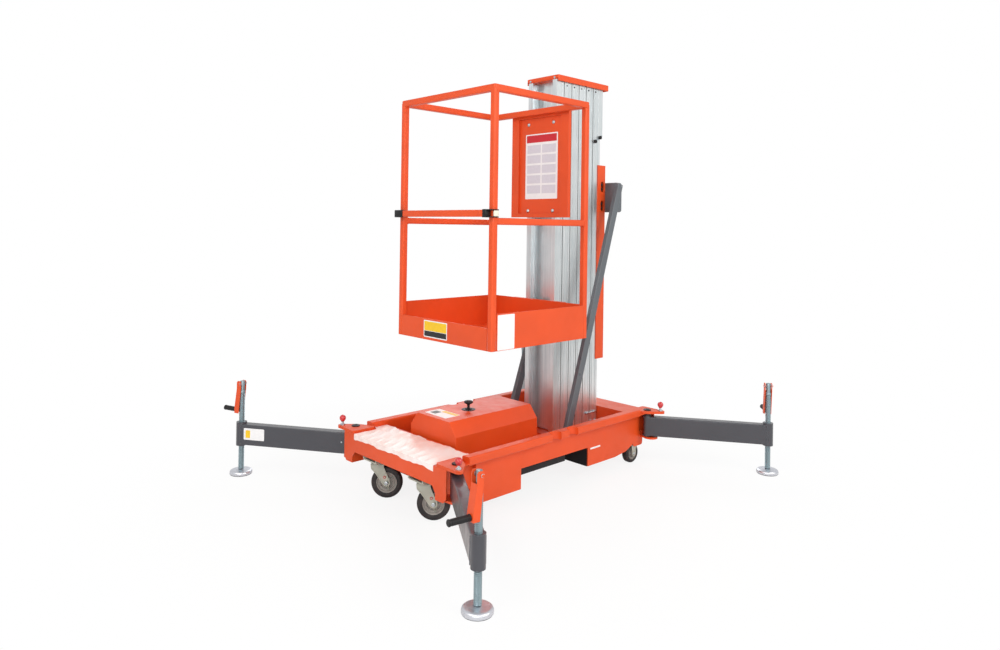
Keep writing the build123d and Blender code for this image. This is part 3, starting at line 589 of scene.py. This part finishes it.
for radius, depth, z in ((rod_r, 0.012, neck_start - 0.006), (neck_r, 0.046, screw_top - 0.023)):
    bpy.ops.mesh.primitive_cylinder_add(vertices=40, radius=radius, depth=depth, location=(0, 0, z))
# The rims at the neck are the sharp edges above the thread, where two faces meet past 30 degrees
pick("edges", lambda e: e.verts[0].co.z > neck_start - 0.001 and len(e.link_faces) == 2
     and e.calc_face_angle(0) > radians(30))
bpy.ops.mesh.bevel(offset=0.0012, segments=2)
rod_zinc = flat_colour("blue_zinc_rolled_thread", "#93A6AD", 0.34, 0.85)
screw = settle("screw_pattern", "jack_fr", rod_zinc, 25)
foot_profile = [(0.0, 0.0018), (0.0490, 0.0018), (0.0514, 0.0026), (0.0523, 0.0045), (0.0525, 0.0085),
                (0.0520, 0.0130), (0.0504, 0.0168), (0.0475, 0.0194), (0.0430, 0.0208), (0.0360, 0.0218),
                (0.0270, 0.0228), (0.0190, 0.0238), (0.0138, 0.0245), (0.0, 0.0245)]
tread_rubber = flat_colour("black_foot_tread_rubber", "#232226", 0.7)
foot = turned("foot_pattern", foot_profile, "jack_fr", chrome, steps=64)
tread_profile = [(0.0, 0.0), (0.0496, 0.0), (0.0502, 0.0006), (0.0502, 0.0018), (0.0, 0.0018)]
foot_tread = turned("foot_tread_pattern", tread_profile, "jack_fr", tread_rubber, steps=64)

# Cranks: a lever pressed as an orange steel channel that straddles the neck of its screw, with
# a zinc bolt across both, and a black rubber grip moulded with end collars and shallow rings.
dress(powder_coat, *["crank_" + key for key in sides])
rubber = mottled("black_moulded_rubber", "#0E0D0F", "#1B1A1D", 40.0, 4.0, {"Roughness": 0.46, "IOR": 1.4})
# Pebbles of 2.4 mm on the moulded skin
tree = rubber.node_tree
spot = tree.nodes["Texture Coordinate"].outputs["Object"]
pebble = node(tree, "TexVoronoi", {"Vector": spot, "Scale": 420.0})
bump = node(tree, "Bump", {"Height": pebble.outputs["Distance"], "Strength": 0.25, "Distance": 0.0003})
tree.links.new(bump.outputs[0], tree.nodes["Principled BSDF"].inputs["Normal"])

# The way each lever points, in degrees from +X
lever_turn = {"fr": -98.0, "fl": 198.0, "rr": 130.0, "rl": 82.0}
grip_z, grip_start, grip_len = 0.306, 0.033, 0.082
lever_half = 0.0175
grip_profile = [(0.0, 0.0), (0.0098, 0.0), (0.0118, 0.0015), (0.0118, 0.005), (0.0104, 0.0066)]
for i in range(11):
    z = 0.010 + i * 0.0056
    grip_profile += [(0.0104, z), (0.0112, z + 0.0014), (0.0112, z + 0.0032), (0.0104, z + 0.0046)]
grip_profile += [(0.0104, 0.0745), (0.0119, 0.0765), (0.0119, 0.0795), (0.0095, grip_len), (0.0, grip_len)]
grip = turned("grip_pattern", grip_profile, "jack_fr", rubber, steps=28)
for key, (sx, sy) in sides.items():
    body = "jack_" + key
    base = at(sx * jack_x, sy * jack_y, 0)
    out = Vector((cos(radians(lever_turn[key])), sin(radians(lever_turn[key])), 0))
    side = Vector((-out.y, out.x, 0))
    stand = [Matrix.Translation(base)]
    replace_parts(copies(screw, "jack_rod_" + key, body, stand), "jack_screw_" + key)
    copies(foot, "jack_foot_" + key, body, stand)
    copies(foot_tread, "jack_foot_tread_" + key, body, stand)
    grip_at = base + up * grip_z
    made = copies(grip, "crank_grip_" + key, body, [facing(grip_at + out * grip_start, out)])
    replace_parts(made, "grip_" + key)
    cross = base + up * (screw_top - 0.014)
    bolts("crank_bolts_" + key, body, [(cross + side * s * lever_half, side * s) for s in (1, -1)], 0.8)
    bolts("grip_bolt_" + key, body, [(grip_at + out * (grip_start - 0.0032), -out)], 0.8)

# Wheels: dark polyurethane tyres on grey moulded centres, ringed and ribbed, with a hex nut
# on the axle. The front pair turns in pressed zinc forks under a double ball race.
tyre_skin, tree, shader, spot = finish("black_polyurethane_tyre", {"Roughness": 0.52})
# Dust lies in patches of 30 mm
dust = node(tree, "TexNoise", {"Vector": spot, "Scale": 35.0, "Detail": 6.0, "Roughness": 0.65})
lay = node(tree, "MapRange", {"Value": dust.outputs[0], "From Min": 0.45, "From Max": 0.75})
colour = node(tree, "Mix", {"Factor": lay.outputs[0], "A": linear("#1C1719"), "B": linear("#3A3331")},
              data_type="RGBA")
tree.links.new(colour.outputs[2], shader.inputs["Base Color"])
bump = node(tree, "Bump", {"Height": dust.outputs[0], "Strength": 0.2, "Distance": 0.0006})
tree.links.new(bump.outputs[0], shader.inputs["Normal"])

nylon = mottled("grey_moulded_nylon", "#85807B", "#A39D96", 26.0, 4.0, {"Roughness": 0.46})


def slab(size, place=(0, 0, 0)):
    """A block of a size about a place, in metres, put down in its mesh."""
    clear_selection()
    bpy.ops.mesh.primitive_cube_add(size=1)
    bpy.ops.transform.resize(value=size)
    bpy.ops.transform.translate(value=place)
    bpy.ops.object.transform_apply()
    return bpy.context.object


def wheel_at(kind, side_name, radius, width, place, axle_dir):
    """A tyre and its ringed centre, turned about the axle, with ribs inside the rim."""
    body, tag = kind + "_wheel_" + side_name[0], "_" + side_name[0]
    side_name = kind + "_" + side_name
    half, rim, rib_count = width / 2, radius * 0.66, 6
    tread = [(rim, -half + 0.002), (radius - 0.013, -half), (radius - 0.006, -half + 0.0015),
             (radius - 0.0015, -half + 0.006), (radius, -half + 0.011), (radius, half - 0.011),
             (radius - 0.0015, half - 0.006), (radius - 0.006, half - 0.0015), (radius - 0.013, half),
             (rim, half - 0.002), (rim, -half + 0.002)]
    stand = facing(place, axle_dir)
    tyre = turned(side_name + "_tyre", tread, body, tyre_skin, stand, 72, 40)
    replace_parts(tyre, kind + "_tyre" + tag)
    face = half - 0.003
    half_hub = [(0.0063, half + 0.0018), (0.0125, half + 0.0018), (0.0138, half + 0.0008),
                (0.0145, face - 0.006), (rim * 0.48, face - 0.010), (rim * 0.60, face - 0.010),
                (rim * 0.66, face - 0.004), (rim * 0.74, face - 0.003), (rim * 0.79, face - 0.006),
                (rim * 0.86, face - 0.006), (rim * 0.91, face - 0.001), (rim - 0.0005, face)]
    profile = half_hub + [(r, -z) for r, z in reversed(half_hub)] + [half_hub[0]]
    hub = turned(side_name + "_wheel_centre", profile, body, nylon, stand, 72, 30)
    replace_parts(hub, kind + "_hub" + tag)
    rib = slab((rim * 0.44, 0.0032, width - 0.016), (0.0135 + rim * 0.20, 0, 0))
    spokes = [stand @ Matrix.Rotation(2 * pi * i / rib_count, 4, "Z") for i in range(rib_count)]
    copies(rib, side_name + "_wheel_ribs", body, spokes, nylon)
    bpy.data.objects.remove(rib)


# The forks' pressed steel has a matt grey-beige zinc finish, which shows few reflections
fork_zinc = mottled("matt_zinc_passivated_steel", "#A3A397", "#BDBEB1", 30.0, 5.0,
                    {"Metallic": 0.35, "Roughness": 0.5})
caster_x, caster_y, trail = 166, -660, 0.044
caster_turn = radians(45)
wheel_r, wheel_w = 0.070, 0.034
rear_r, rear_w, rear_x, rear_y, nut_gap = 0.050, 0.038, 292, 600, 0.0255
fork_top, fork_sheet = 0.162, 0.0035
cheek = wheel_w / 2 + 0.003
red_lacquer = flat_colour("red_lacquered_nut", "#C02A24", 0.3)
for side_name, sx in (("right", 1), ("left", -1)):
    tag = side_name[0]
    body = "caster_" + tag
    # Drawn about the pivot, trailing along +X, then turned as the casters were left
    turned_fork = Matrix.Translation(at(sx * caster_x, caster_y, 0)) @ Matrix.Rotation(caster_turn, 4, "Z")
    axle = turned_fork @ Vector((trail, 0, wheel_r))
    axle_way = turned_fork.to_3x3() @ Vector((0, 1, 0))
    wheel_at("caster", side_name, wheel_r, wheel_w, axle, axle_way)
    # Fork: one leg is shaped as a plate, thickened, flanged along its edges and copied across
    leg = [(-0.027, fork_top - 0.010), (0.030, fork_top - 0.010), (0.034, fork_top - 0.026),
           (trail + 0.0175, wheel_r + 0.006), (trail + 0.0165, wheel_r - 0.006),
           (trail + 0.007, wheel_r - 0.0145), (trail - 0.007, wheel_r - 0.0145),
           (trail - 0.0165, wheel_r - 0.004), (-0.004, fork_top - 0.052), (-0.025, fork_top - 0.030)]
    plate = outline("leg", leg, panel=True)
    bpy.ops.object.mode_set(mode="EDIT")
    pick("verts", lambda v: v.co.z < fork_top - 0.02)
    bpy.ops.mesh.bevel(offset=0.006, segments=4, affect="VERTICES")
    bpy.ops.mesh.select_all(action="SELECT")
    bpy.ops.mesh.extrude_region_move(TRANSFORM_OT_translate={"value": (0, fork_sheet, 0)})
    bpy.ops.mesh.select_all(action="SELECT")
    bpy.ops.mesh.normals_make_consistent(inside=False)
    pick("faces", lambda f: abs(f.normal.y) > 0.9)
    bpy.ops.mesh.inset(thickness=0.0040)
    bpy.ops.mesh.inset(thickness=0.0015, depth=-0.0009)
    bpy.ops.object.mode_set(mode="OBJECT")
    pair = [turned_fork @ Matrix.Translation((0, y, 0)) for y in (cheek, -cheek - fork_sheet)]
    legs = copies(plate, "caster_legs_" + side_name, body, pair, fork_zinc)
    bpy.data.objects.remove(plate)
    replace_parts(legs, "caster_fork_" + tag)
    # Crown of the fork with its ball races, and the axle with its nuts
    slab((0.060, 2 * (cheek + fork_sheet), 0.005), (0.003, 0, fork_top - 0.0115))
    bpy.ops.object.mode_set(mode="EDIT")
    bpy.ops.mesh.bevel(offset=0.0018, segments=3)
    bpy.ops.object.mode_set(mode="OBJECT")
    bpy.context.object.data.transform(turned_fork)
    settle("caster_crown_" + side_name, body, fork_zinc)
    race = [(0.0, 0.0), (0.027, 0.0), (0.0295, -0.0015), (0.030, -0.0040), (0.0275, -0.0052),
            (0.0270, -0.0058), (0.0285, -0.0066), (0.0285, -0.0086), (0.0265, -0.0095), (0.0, -0.0095)]
    turned("caster_race_" + side_name, race, body, fork_zinc,
           turned_fork @ Matrix.Translation((0, 0, fork_top)))
    nut_face = axle_way * (cheek + 0.0030)
    bolts("caster_axle_nuts_" + side_name, body, [(axle + nut_face, axle_way), (axle - nut_face, -axle_way)])
    axle_rod = [(0.0, -cheek - 0.003), (0.006, -cheek - 0.003), (0.006, cheek + 0.003), (0.0, cheek + 0.003)]
    turned("caster_axle_" + side_name, axle_rod, body, zinc, facing(axle, axle_way), 24)
    # Round mark above the axle: a red ring round a pale stud
    mark = turned_fork @ Vector((trail - 0.008, -cheek - 0.0030, wheel_r + 0.026))
    stud_at = facing(mark, -axle_way)
    ring = [(0.0036, 0.0014), (0.0058, 0.0014), (0.0062, 0.0008), (0.0062, 0.0), (0.0036, 0.0),
            (0.0036, 0.0014)]
    turned("caster_red_ring_" + side_name, ring, body, red_lacquer, stud_at, 24)
    stud = [(0.0, 0.0022), (0.0024, 0.0020), (0.0034, 0.0010), (0.0034, 0.0), (0.0, 0.0)]
    turned("caster_stud_" + side_name, stud, body, fork_zinc, stud_at, 24)
    rear_axle = at(sx * rear_x, rear_y, 1000 * rear_r)
    wheel_at("rear", side_name, rear_r, rear_w, rear_axle, across)
    rear_nuts = [(rear_axle + across * s * nut_gap, across * s) for s in (-1, 1)]
    bolts("rear_axle_nuts_" + side_name, "chassis", rear_nuts, 0.9)
dress(fork_zinc, "caster_mounts", "rear_wheel_brackets")
plate_bolts = [(at(sx * caster_x + dx, caster_y + dy, 1000 * fork_top + 0.2), -up)
               for sx in (-1, 1) for dx in (-38, 38) for dy in (-28, 28)]
bolts("caster_plate_bolts", "chassis", plate_bolts, 0.7)

# Mast: six nested channels of extruded aluminium, clear anodised to a satin with a faint blue
# cast and streaks drawn along their length. Each slides up on the one behind it.
anodised, tree, shader, spot = finish("clear_anodised_aluminium", {"Metallic": 0.92})
# Streaks 4 mm wide and half a metre long, and clouds of 110 mm
drawn = node(tree, "VectorMath", {0: spot, 1: (250, 250, 2.0)}, operation="MULTIPLY")
streak = node(tree, "TexNoise", {"Vector": drawn.outputs[0], "Scale": 1.0, "Detail": 3.0})
cloud = node(tree, "TexNoise", {"Vector": spot, "Scale": 9.0, "Detail": 4.0})
both = node(tree, "Math", {0: streak.outputs[0], 1: 0.7}, operation="MULTIPLY")
both = node(tree, "Math", {0: cloud.outputs[0], 1: 0.3, 2: both.outputs[0]}, operation="MULTIPLY_ADD")
ramp = node(tree, "MapRange", {"Value": both.outputs[0], "From Min": 0.35, "From Max": 0.65})
colour = node(tree, "Mix", {"Factor": ramp.outputs[0], "A": linear("#CFD8DB"), "B": linear("#EEF2F3")},
              data_type="RGBA")
tree.links.new(colour.outputs[2], shader.inputs["Base Color"])
dull = node(tree, "MapRange", {"Value": both.outputs[0], "From Min": 0.35, "From Max": 0.65,
                               "To Min": 0.42, "To Max": 0.30})
tree.links.new(dull.outputs[0], shader.inputs["Roughness"])
bump = node(tree, "Bump", {"Height": streak.outputs[0], "Strength": 0.08, "Distance": 0.0002})
round_edge = node(tree, "Bevel", {"Radius": 0.001}, samples=4)
tree.links.new(round_edge.outputs[0], bump.inputs["Normal"])
tree.links.new(bump.outputs[0], shader.inputs["Normal"])

section_bodies = {k: "mast_stage_%d" % k for k in range(2, 7)}
section_bodies[1] = "chassis"
dress(anodised, *["mast_section_%d" % k for k in section_bodies])
mast_half, mast_front, section_pitch = 99, 210, 58.4

# Keeper screws: small blackened button heads near the top of each rail, one on each side.
# They hold the stops that end the slides' travel.
keeper_z = 1941
button = [(0.0, 0.0016), (0.0014, 0.0016), (0.0016, 0.0024), (0.0032, 0.0020), (0.0042, 0.0010),
          (0.0044, 0.0), (0.0, 0.0)]
keeper = turned("keeper_pattern", button, "chassis", black_oxide, steps=20)
for k in range(1, 6):
    y = mast_front + section_pitch * (6 - k) + 18
    spots = [facing(at(sx * mast_half, y, keeper_z), (sx, 0, 0)) for sx in (-1, 1)]
    copies(keeper, "keeper_screws_%d" % k, section_bodies[k], spots)

# Wear strips: black nylon, glued to the front lip of each section, in the slit behind the
# section that slides on it. Their black is painted shade: it stands for the shade in the slits
# and reads as the dark lines between the rails.
strip_nylon_and_shade = flat_colour("black_nylon_strip_painted_shade", "#1C1C1F", 0.6)
rail_low, rail_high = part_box("mast_section_3")
strip_x, strip_half = 88.2375, 9
strip_low, strip_high = 1000 * rail_low.z + 2, 1000 * rail_high.z - 2


def blocks(name, body, boxes, material, radius=0.0006):
    """Round-edged blocks in one object, each given as x0, x1, y0, y1, z0, z1 in mm."""
    clear_selection()
    bpy.ops.mesh.primitive_cube_add(size=1)
    bpy.ops.object.mode_set(mode="EDIT")
    bpy.ops.mesh.delete(type="VERT")
    for x0, x1, y0, y1, z0, z1 in boxes:
        bpy.ops.mesh.select_all(action="DESELECT")
        bpy.ops.mesh.primitive_cube_add(size=1)
        bpy.ops.transform.resize(value=Vector((x1 - x0, y1 - y0, z1 - z0)) / 1000)
        bpy.ops.transform.translate(value=at((x0 + x1) / 2, (y0 + y1) / 2, (z0 + z1) / 2))
    bpy.ops.mesh.select_all(action="SELECT")
    bpy.ops.mesh.bevel(offset=radius, segments=2)
    return settle(name, body, material)


for k in range(1, 6):
    y = mast_front + section_pitch * (6 - k)
    strips = [(x - strip_half, x + strip_half, y - 3.9, y - 0.1, strip_low, strip_high)
              for x in (-strip_x, strip_x)]
    blocks("wear_strips_%d" % k, section_bodies[k], strips, strip_nylon_and_shade)

# Cable stop: a zinc strap on the side of the rear rail, with two black rubber rollers that
# the control cable is led round, and a stud past the rail's back edge.
stop_way = Vector((0, 0.076, 0.045)).normalized()
stop_low = at(mast_half + 1.6, 509, 1673)
strap = slab((0.003, 0.060, 0.009))
bpy.ops.object.mode_set(mode="EDIT")
pick("edges", lambda e: abs(e.verts[0].co.x - e.verts[1].co.x) > 0.001)
bpy.ops.mesh.bevel(offset=0.004, segments=5)
bpy.ops.object.mode_set(mode="OBJECT")
tilt = Matrix((across, stop_way, across.cross(stop_way))).transposed().to_4x4()
strap.data.transform(Matrix.Translation(stop_low + stop_way * 0.030) @ tilt)
settle("cable_stop_strap", "chassis", zinc)
roller = [(0.0, 0.0), (0.0085, 0.0), (0.0098, 0.0010), (0.0080, 0.0035), (0.0080, 0.0055),
          (0.0098, 0.0080), (0.0085, 0.0092), (0.0032, 0.0092), (0.0030, 0.0104), (0.0, 0.0104)]
stop_roller = turned("roller_pattern", roller, "chassis", rubber, steps=32)
roller_spots = [facing(stop_low + stop_way * d + across * 0.0014, across) for d in (0.007, 0.053)]
copies(stop_roller, "cable_stop_rollers", "chassis", roller_spots)
stud = [(0.0, 0.0), (0.0032, 0.0), (0.0032, 0.0175), (0.0024, 0.0185), (0.0, 0.0185)]
turned("cable_stop_stud", stud, "chassis", zinc,
       facing(stop_low + stop_way * 0.059, stop_way), 20)

# Latch at the mast's foot: a zinc-plated bar along the rear rail, held in two small lugs, with
# two bolts below it on each side of the rail.
latch_z, foot_bolt_z = 237, 190
bar = [(0.0, 0.0), (0.0030, 0.0), (0.0036, 0.0006), (0.0036, 0.0874), (0.0030, 0.088), (0.0, 0.088)]
turned("mast_foot_bar", bar, "chassis", zinc,
       facing(at(mast_half + 7, 463, latch_z), along), 20)
lugs = [(mast_half, mast_half + 11, y, y + 9, latch_z - 6, latch_z + 6) for y in (474, 531)]
blocks("mast_foot_lugs", "chassis", lugs, zinc, 0.0015)
foot_bolts = [(at(sx * mast_half, y, foot_bolt_z), (sx, 0, 0)) for y in (549, 516) for sx in (-1, 1)]
bolts("mast_foot_bolts", "chassis", foot_bolts, 0.8)

# Mast cap: a pressed orange cover bolted to the front section, with its skirt turned down
# over the tops of the other sections. Two bolts show on its front.
front = section_bodies[6]
dress(powder_coat, "mast_cap")
bolts("mast_cap_bolts", front, [(at(x, mast_front - 2, 1974), -along) for x in (-84, 84)], 0.75)

# Rear channel: orange folded steel round the back of the fixed section, bolted through long
# slots, which lets the bracket be set level.
dress(powder_coat, "rear_channel")
channel_half, slot_y, slot_ends = 97, 582, (1324, 1346, 1426, 1448)
slot_bolts = [(at(sx * channel_half, slot_y, z), (sx, 0, 0)) for sx in (-1, 1) for z in slot_ends]
bolts("channel_slot_bolts", "chassis", slot_bolts, 0.9, black_oxide)

# Mast braces: rectangular steel tubes in mid grey enamel, welded to a bracket plate behind the
# mast at the top and to foot plates bolted to the tray floor.
# The near-white second colour paints a highlight line along the braces' edges
brace_paint = paint("mid_grey_enamel", "#5F656B", "#E2E6EA", 0.34, 0.35, 0.003)
dress(brace_paint, "mast_braces")
brace_x, brace_y, brace_foot_z = 197, 193, 170
feet = [(at(sx * brace_x + dx, brace_y + dy, brace_foot_z), up)
        for sx in (-1, 1) for dx in (-18, 18) for dy in (-24, 24)]
bolts("brace_foot_bolts", "chassis", feet, 0.6)

# Hood: one orange steel pressing over the battery and pump, lifted off by the black knob on
# its top. A white notice with plain yellow and black fields lies on its front half.
dress(powder_coat, "hood")
dress(black_enamel_and_shade, "power_pack")
hood_top = 358
notice_at = at(-20, -410, hood_top + 0.1)
sticker("hood_notice", "hood", notice_at, across, along, 0.150, 0.088, vinyl)
sticker("hood_notice_yellow", "hood", notice_at + Vector((0.022, 0.028, ink_lift)), across, along,
        0.098, 0.024, yellow_ink, 0.003)
sticker("hood_notice_black", "hood", notice_at + Vector((-0.040, -0.006, ink_lift)), across, along,
        0.036, 0.040, black_ink, 0.003)
knob_low, knob_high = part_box("hood_knob")
knob_h = knob_high.z - knob_low.z
knob_profile = [(0.0, knob_h), (0.006, knob_h), (0.008, knob_h - 0.0008), (0.0165, knob_h - 0.0015),
                (0.0200, knob_h - 0.0035), (0.0209, knob_h - 0.0070), (0.0200, knob_h - 0.0110),
                (0.0150, knob_h - 0.0140), (0.0085, knob_h - 0.0165), (0.0062, knob_h - 0.0220),
                (0.0062, 0.0090), (0.0085, 0.0075), (0.0150, 0.0060), (0.0168, 0.0040), (0.0169, 0.0),
                (0.0, 0.0)]
knob_stand = Matrix.Translation((knob_low + knob_high) / 2 - up * knob_h / 2)
hood_knob = turned("hood_lift_knob", knob_profile, "hood", rubber, knob_stand)
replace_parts(hood_knob, "hood_knob")
washer = [(0.0, 0.0024), (0.0290, 0.0024), (0.0322, 0.0014), (0.0325, 0.0), (0.0, 0.0)]
turned("hood_knob_washer", washer, "hood", rubber, knob_stand)
# Small blank label on the tray's right wall, above the fork pocket's back edge
tray_wall_x = 325.1
sticker("tray_wall_label", "chassis", at(tray_wall_x, 270, 149), along, up, 0.076, 0.008, vinyl, 0.002)
hood_half, hood_screw_z = 160, 196
screws = [(at(sx * hood_half, y, hood_screw_z), (sx, 0, 0)) for sx in (-1, 1) for y in (-440, -10)]
bolts("hood_side_screws", "hood", screws, 0.5)

# Work platform: a folded orange floor pan with toe boards, and guard rails of 30 mm square
# tube welded round it. The welds are ground nearly flush and painted over.
dress(powder_coat, "platform_pan", "platform_guard", "mount_plate")
plat_x, plat_y0, plat_y1, plat_z = 330, -440, 190, 688
tube = 30
rail_mid, rail_top = plat_z + 549, plat_z + 1130
seams = []
for sx in (-1, 1):
    for y in (plat_y0 + tube, plat_y1 - tube):
        for z in (rail_mid - tube / 2, rail_mid + tube / 2):
            seams.append([at(sx * (plat_x - 26), y, z), at(sx * (plat_x - 4), y, z)])
        seams.append([at(sx * (plat_x - 0.5), y, z) for z in (rail_mid - 12, rail_mid + 12)])
    for y, inward in ((plat_y0, 1), (plat_y1, -1)):
        seams.append([at(sx * (plat_x - 1), y + inward * d, rail_top - tube) for d in (26, 4)])
for i, line in enumerate(seams):
    bead("guard_weld_%02d" % i, front, line, powder_coat, 0.0042)

# Tread studs: low round bosses pressed up from the floor pan in rows, for grip, and coated
# with it.
boss = [(0.0, 0.0022), (0.0022, 0.0018), (0.0034, 0.0008), (0.0038, 0.0), (0.0, 0.0)]
tread_stud = turned("tread_stud_pattern", boss, front, powder_coat, steps=16)
tread = [Matrix.Translation(at(x, y, plat_z + 4)) @ Matrix.Scale(1.6, 4)
         for x in range(-270, 271, 45) for y in range(-390, 141, 53)]
copies(tread_stud, "floor_tread_studs", front, tread)

# Mounting plate: bolted to the front mast section by four domed bolts, which are zinc plated.
# The blank plate on it is white vinyl with a red head band and ten pale grey fields.
dome = [(0.0, 0.0062), (0.0040, 0.0056), (0.0078, 0.0036), (0.0098, 0.0010), (0.0100, 0.0), (0.0, 0.0)]
dome_bolt = turned("dome_pattern", dome, front, zinc, steps=28)
plate_face, plate_mid, plate_mid_z = 202, 5, 1528
band_z, field_z, field_pitch = 1671, 1618, 52
dome_spots = [facing(at(x, plate_face, z), -along) for x in (-86, 86) for z in (1299, 1748)]
copies(dome_bolt, "mount_plate_bolts", front, dome_spots)
sticker("instruction_plate", front, at(plate_mid, plate_face, plate_mid_z), across, up, 0.222, 0.336, vinyl)
sticker("instruction_plate_band", front, at(plate_mid, plate_face - 0.5, band_z), across, up,
        0.208, 0.038, red_ink, 0.002)
pale_ink = flat_colour("pale_grey_print", "#D5D3DC", 0.4)
for i in range(5):
    for j, x in enumerate((plate_mid - 52, plate_mid + 52)):
        field_at = at(x, plate_face - 0.5, field_z - field_pitch * i)
        sticker("instruction_field_%d_%d" % (i, j), front, field_at, across, up,
                0.094, 0.042, pale_ink, 0.002)

# Plates on the sill and the right toe board: blank white vinyl. The one on the sill has a
# yellow field over a black one, the other is plain.
sill_at = at(-44, plat_y0, 739)
sticker("sill_plate", front, sill_at, across, up, 0.168, 0.078, vinyl)
sticker("sill_plate_yellow", front, sill_at + Vector((0, -ink_lift, 0.013)), across, up,
        0.158, 0.042, yellow_ink, 0.002)
sticker("sill_plate_black", front, sill_at + Vector((0, -ink_lift, -0.022)), across, up,
        0.158, 0.024, black_ink, 0.002)
sticker("toe_board_plate", front, at(plat_x, -354.5, 765), along, up, 0.101, 0.150, vinyl)

# Entry bar: orange square tube across the platform's entry, on black moulded sleeves that
# slide up the two front posts. The right sleeve holds a pale nylon pad against its post.
dress(powder_coat, "entry_bar")
bar_front, bar_back, bar_z, lip = -471, -441, 1270, 17.5
low_lip, high_lip = (bar_z - lip, bar_z - 13), (bar_z + 13, bar_z + lip)
post_side = (330.5, 337.5, bar_back - 8, -412.5)
left_sleeve = [(-329, -265.5, bar_front - 2, bar_back, bar_z - lip, bar_z + lip),
               (-337.5, -330.5, bar_back - 8, -412.5, bar_z - lip, bar_z + lip)]
right_sleeve = [(296, 316, bar_front - 2, bar_back, bar_z - lip, bar_z + lip)]
right_sleeve += [(314, 337.5, bar_front + 8, bar_back) + lips for lips in (high_lip, low_lip)]
right_sleeve += [post_side + lips for lips in (high_lip, low_lip)]
spigot = [(264, 298, bar_front, bar_back, bar_z - 15, bar_z + 15)]
pad = [(330.5, 337, bar_back, -413, bar_z - 12.5, bar_z + 12.5)]
pad_nylon = flat_colour("natural_nylon_pad", "#EFE7D6", 0.4)
for name, boxes, material, slot, radius in (
        ("entry_sleeve_left", left_sleeve, rubber, "black_plastic", 0.003),
        ("entry_sleeve_right", right_sleeve, rubber, "black_plastic", 0.0018),
        ("entry_bar_spigot", spigot, powder_coat, "orange_steel", 0.003),
        ("entry_guide_pad", pad, pad_nylon, "black_plastic", 0.002)):
    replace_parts(blocks(name, "entry_bar", boxes, material, radius), "entry_bar_ends")

# The patterns that were copied are put away.
for pattern in [piece for piece in bpy.data.objects if piece.name.endswith("_pattern")]:
    bpy.data.objects.remove(pattern)
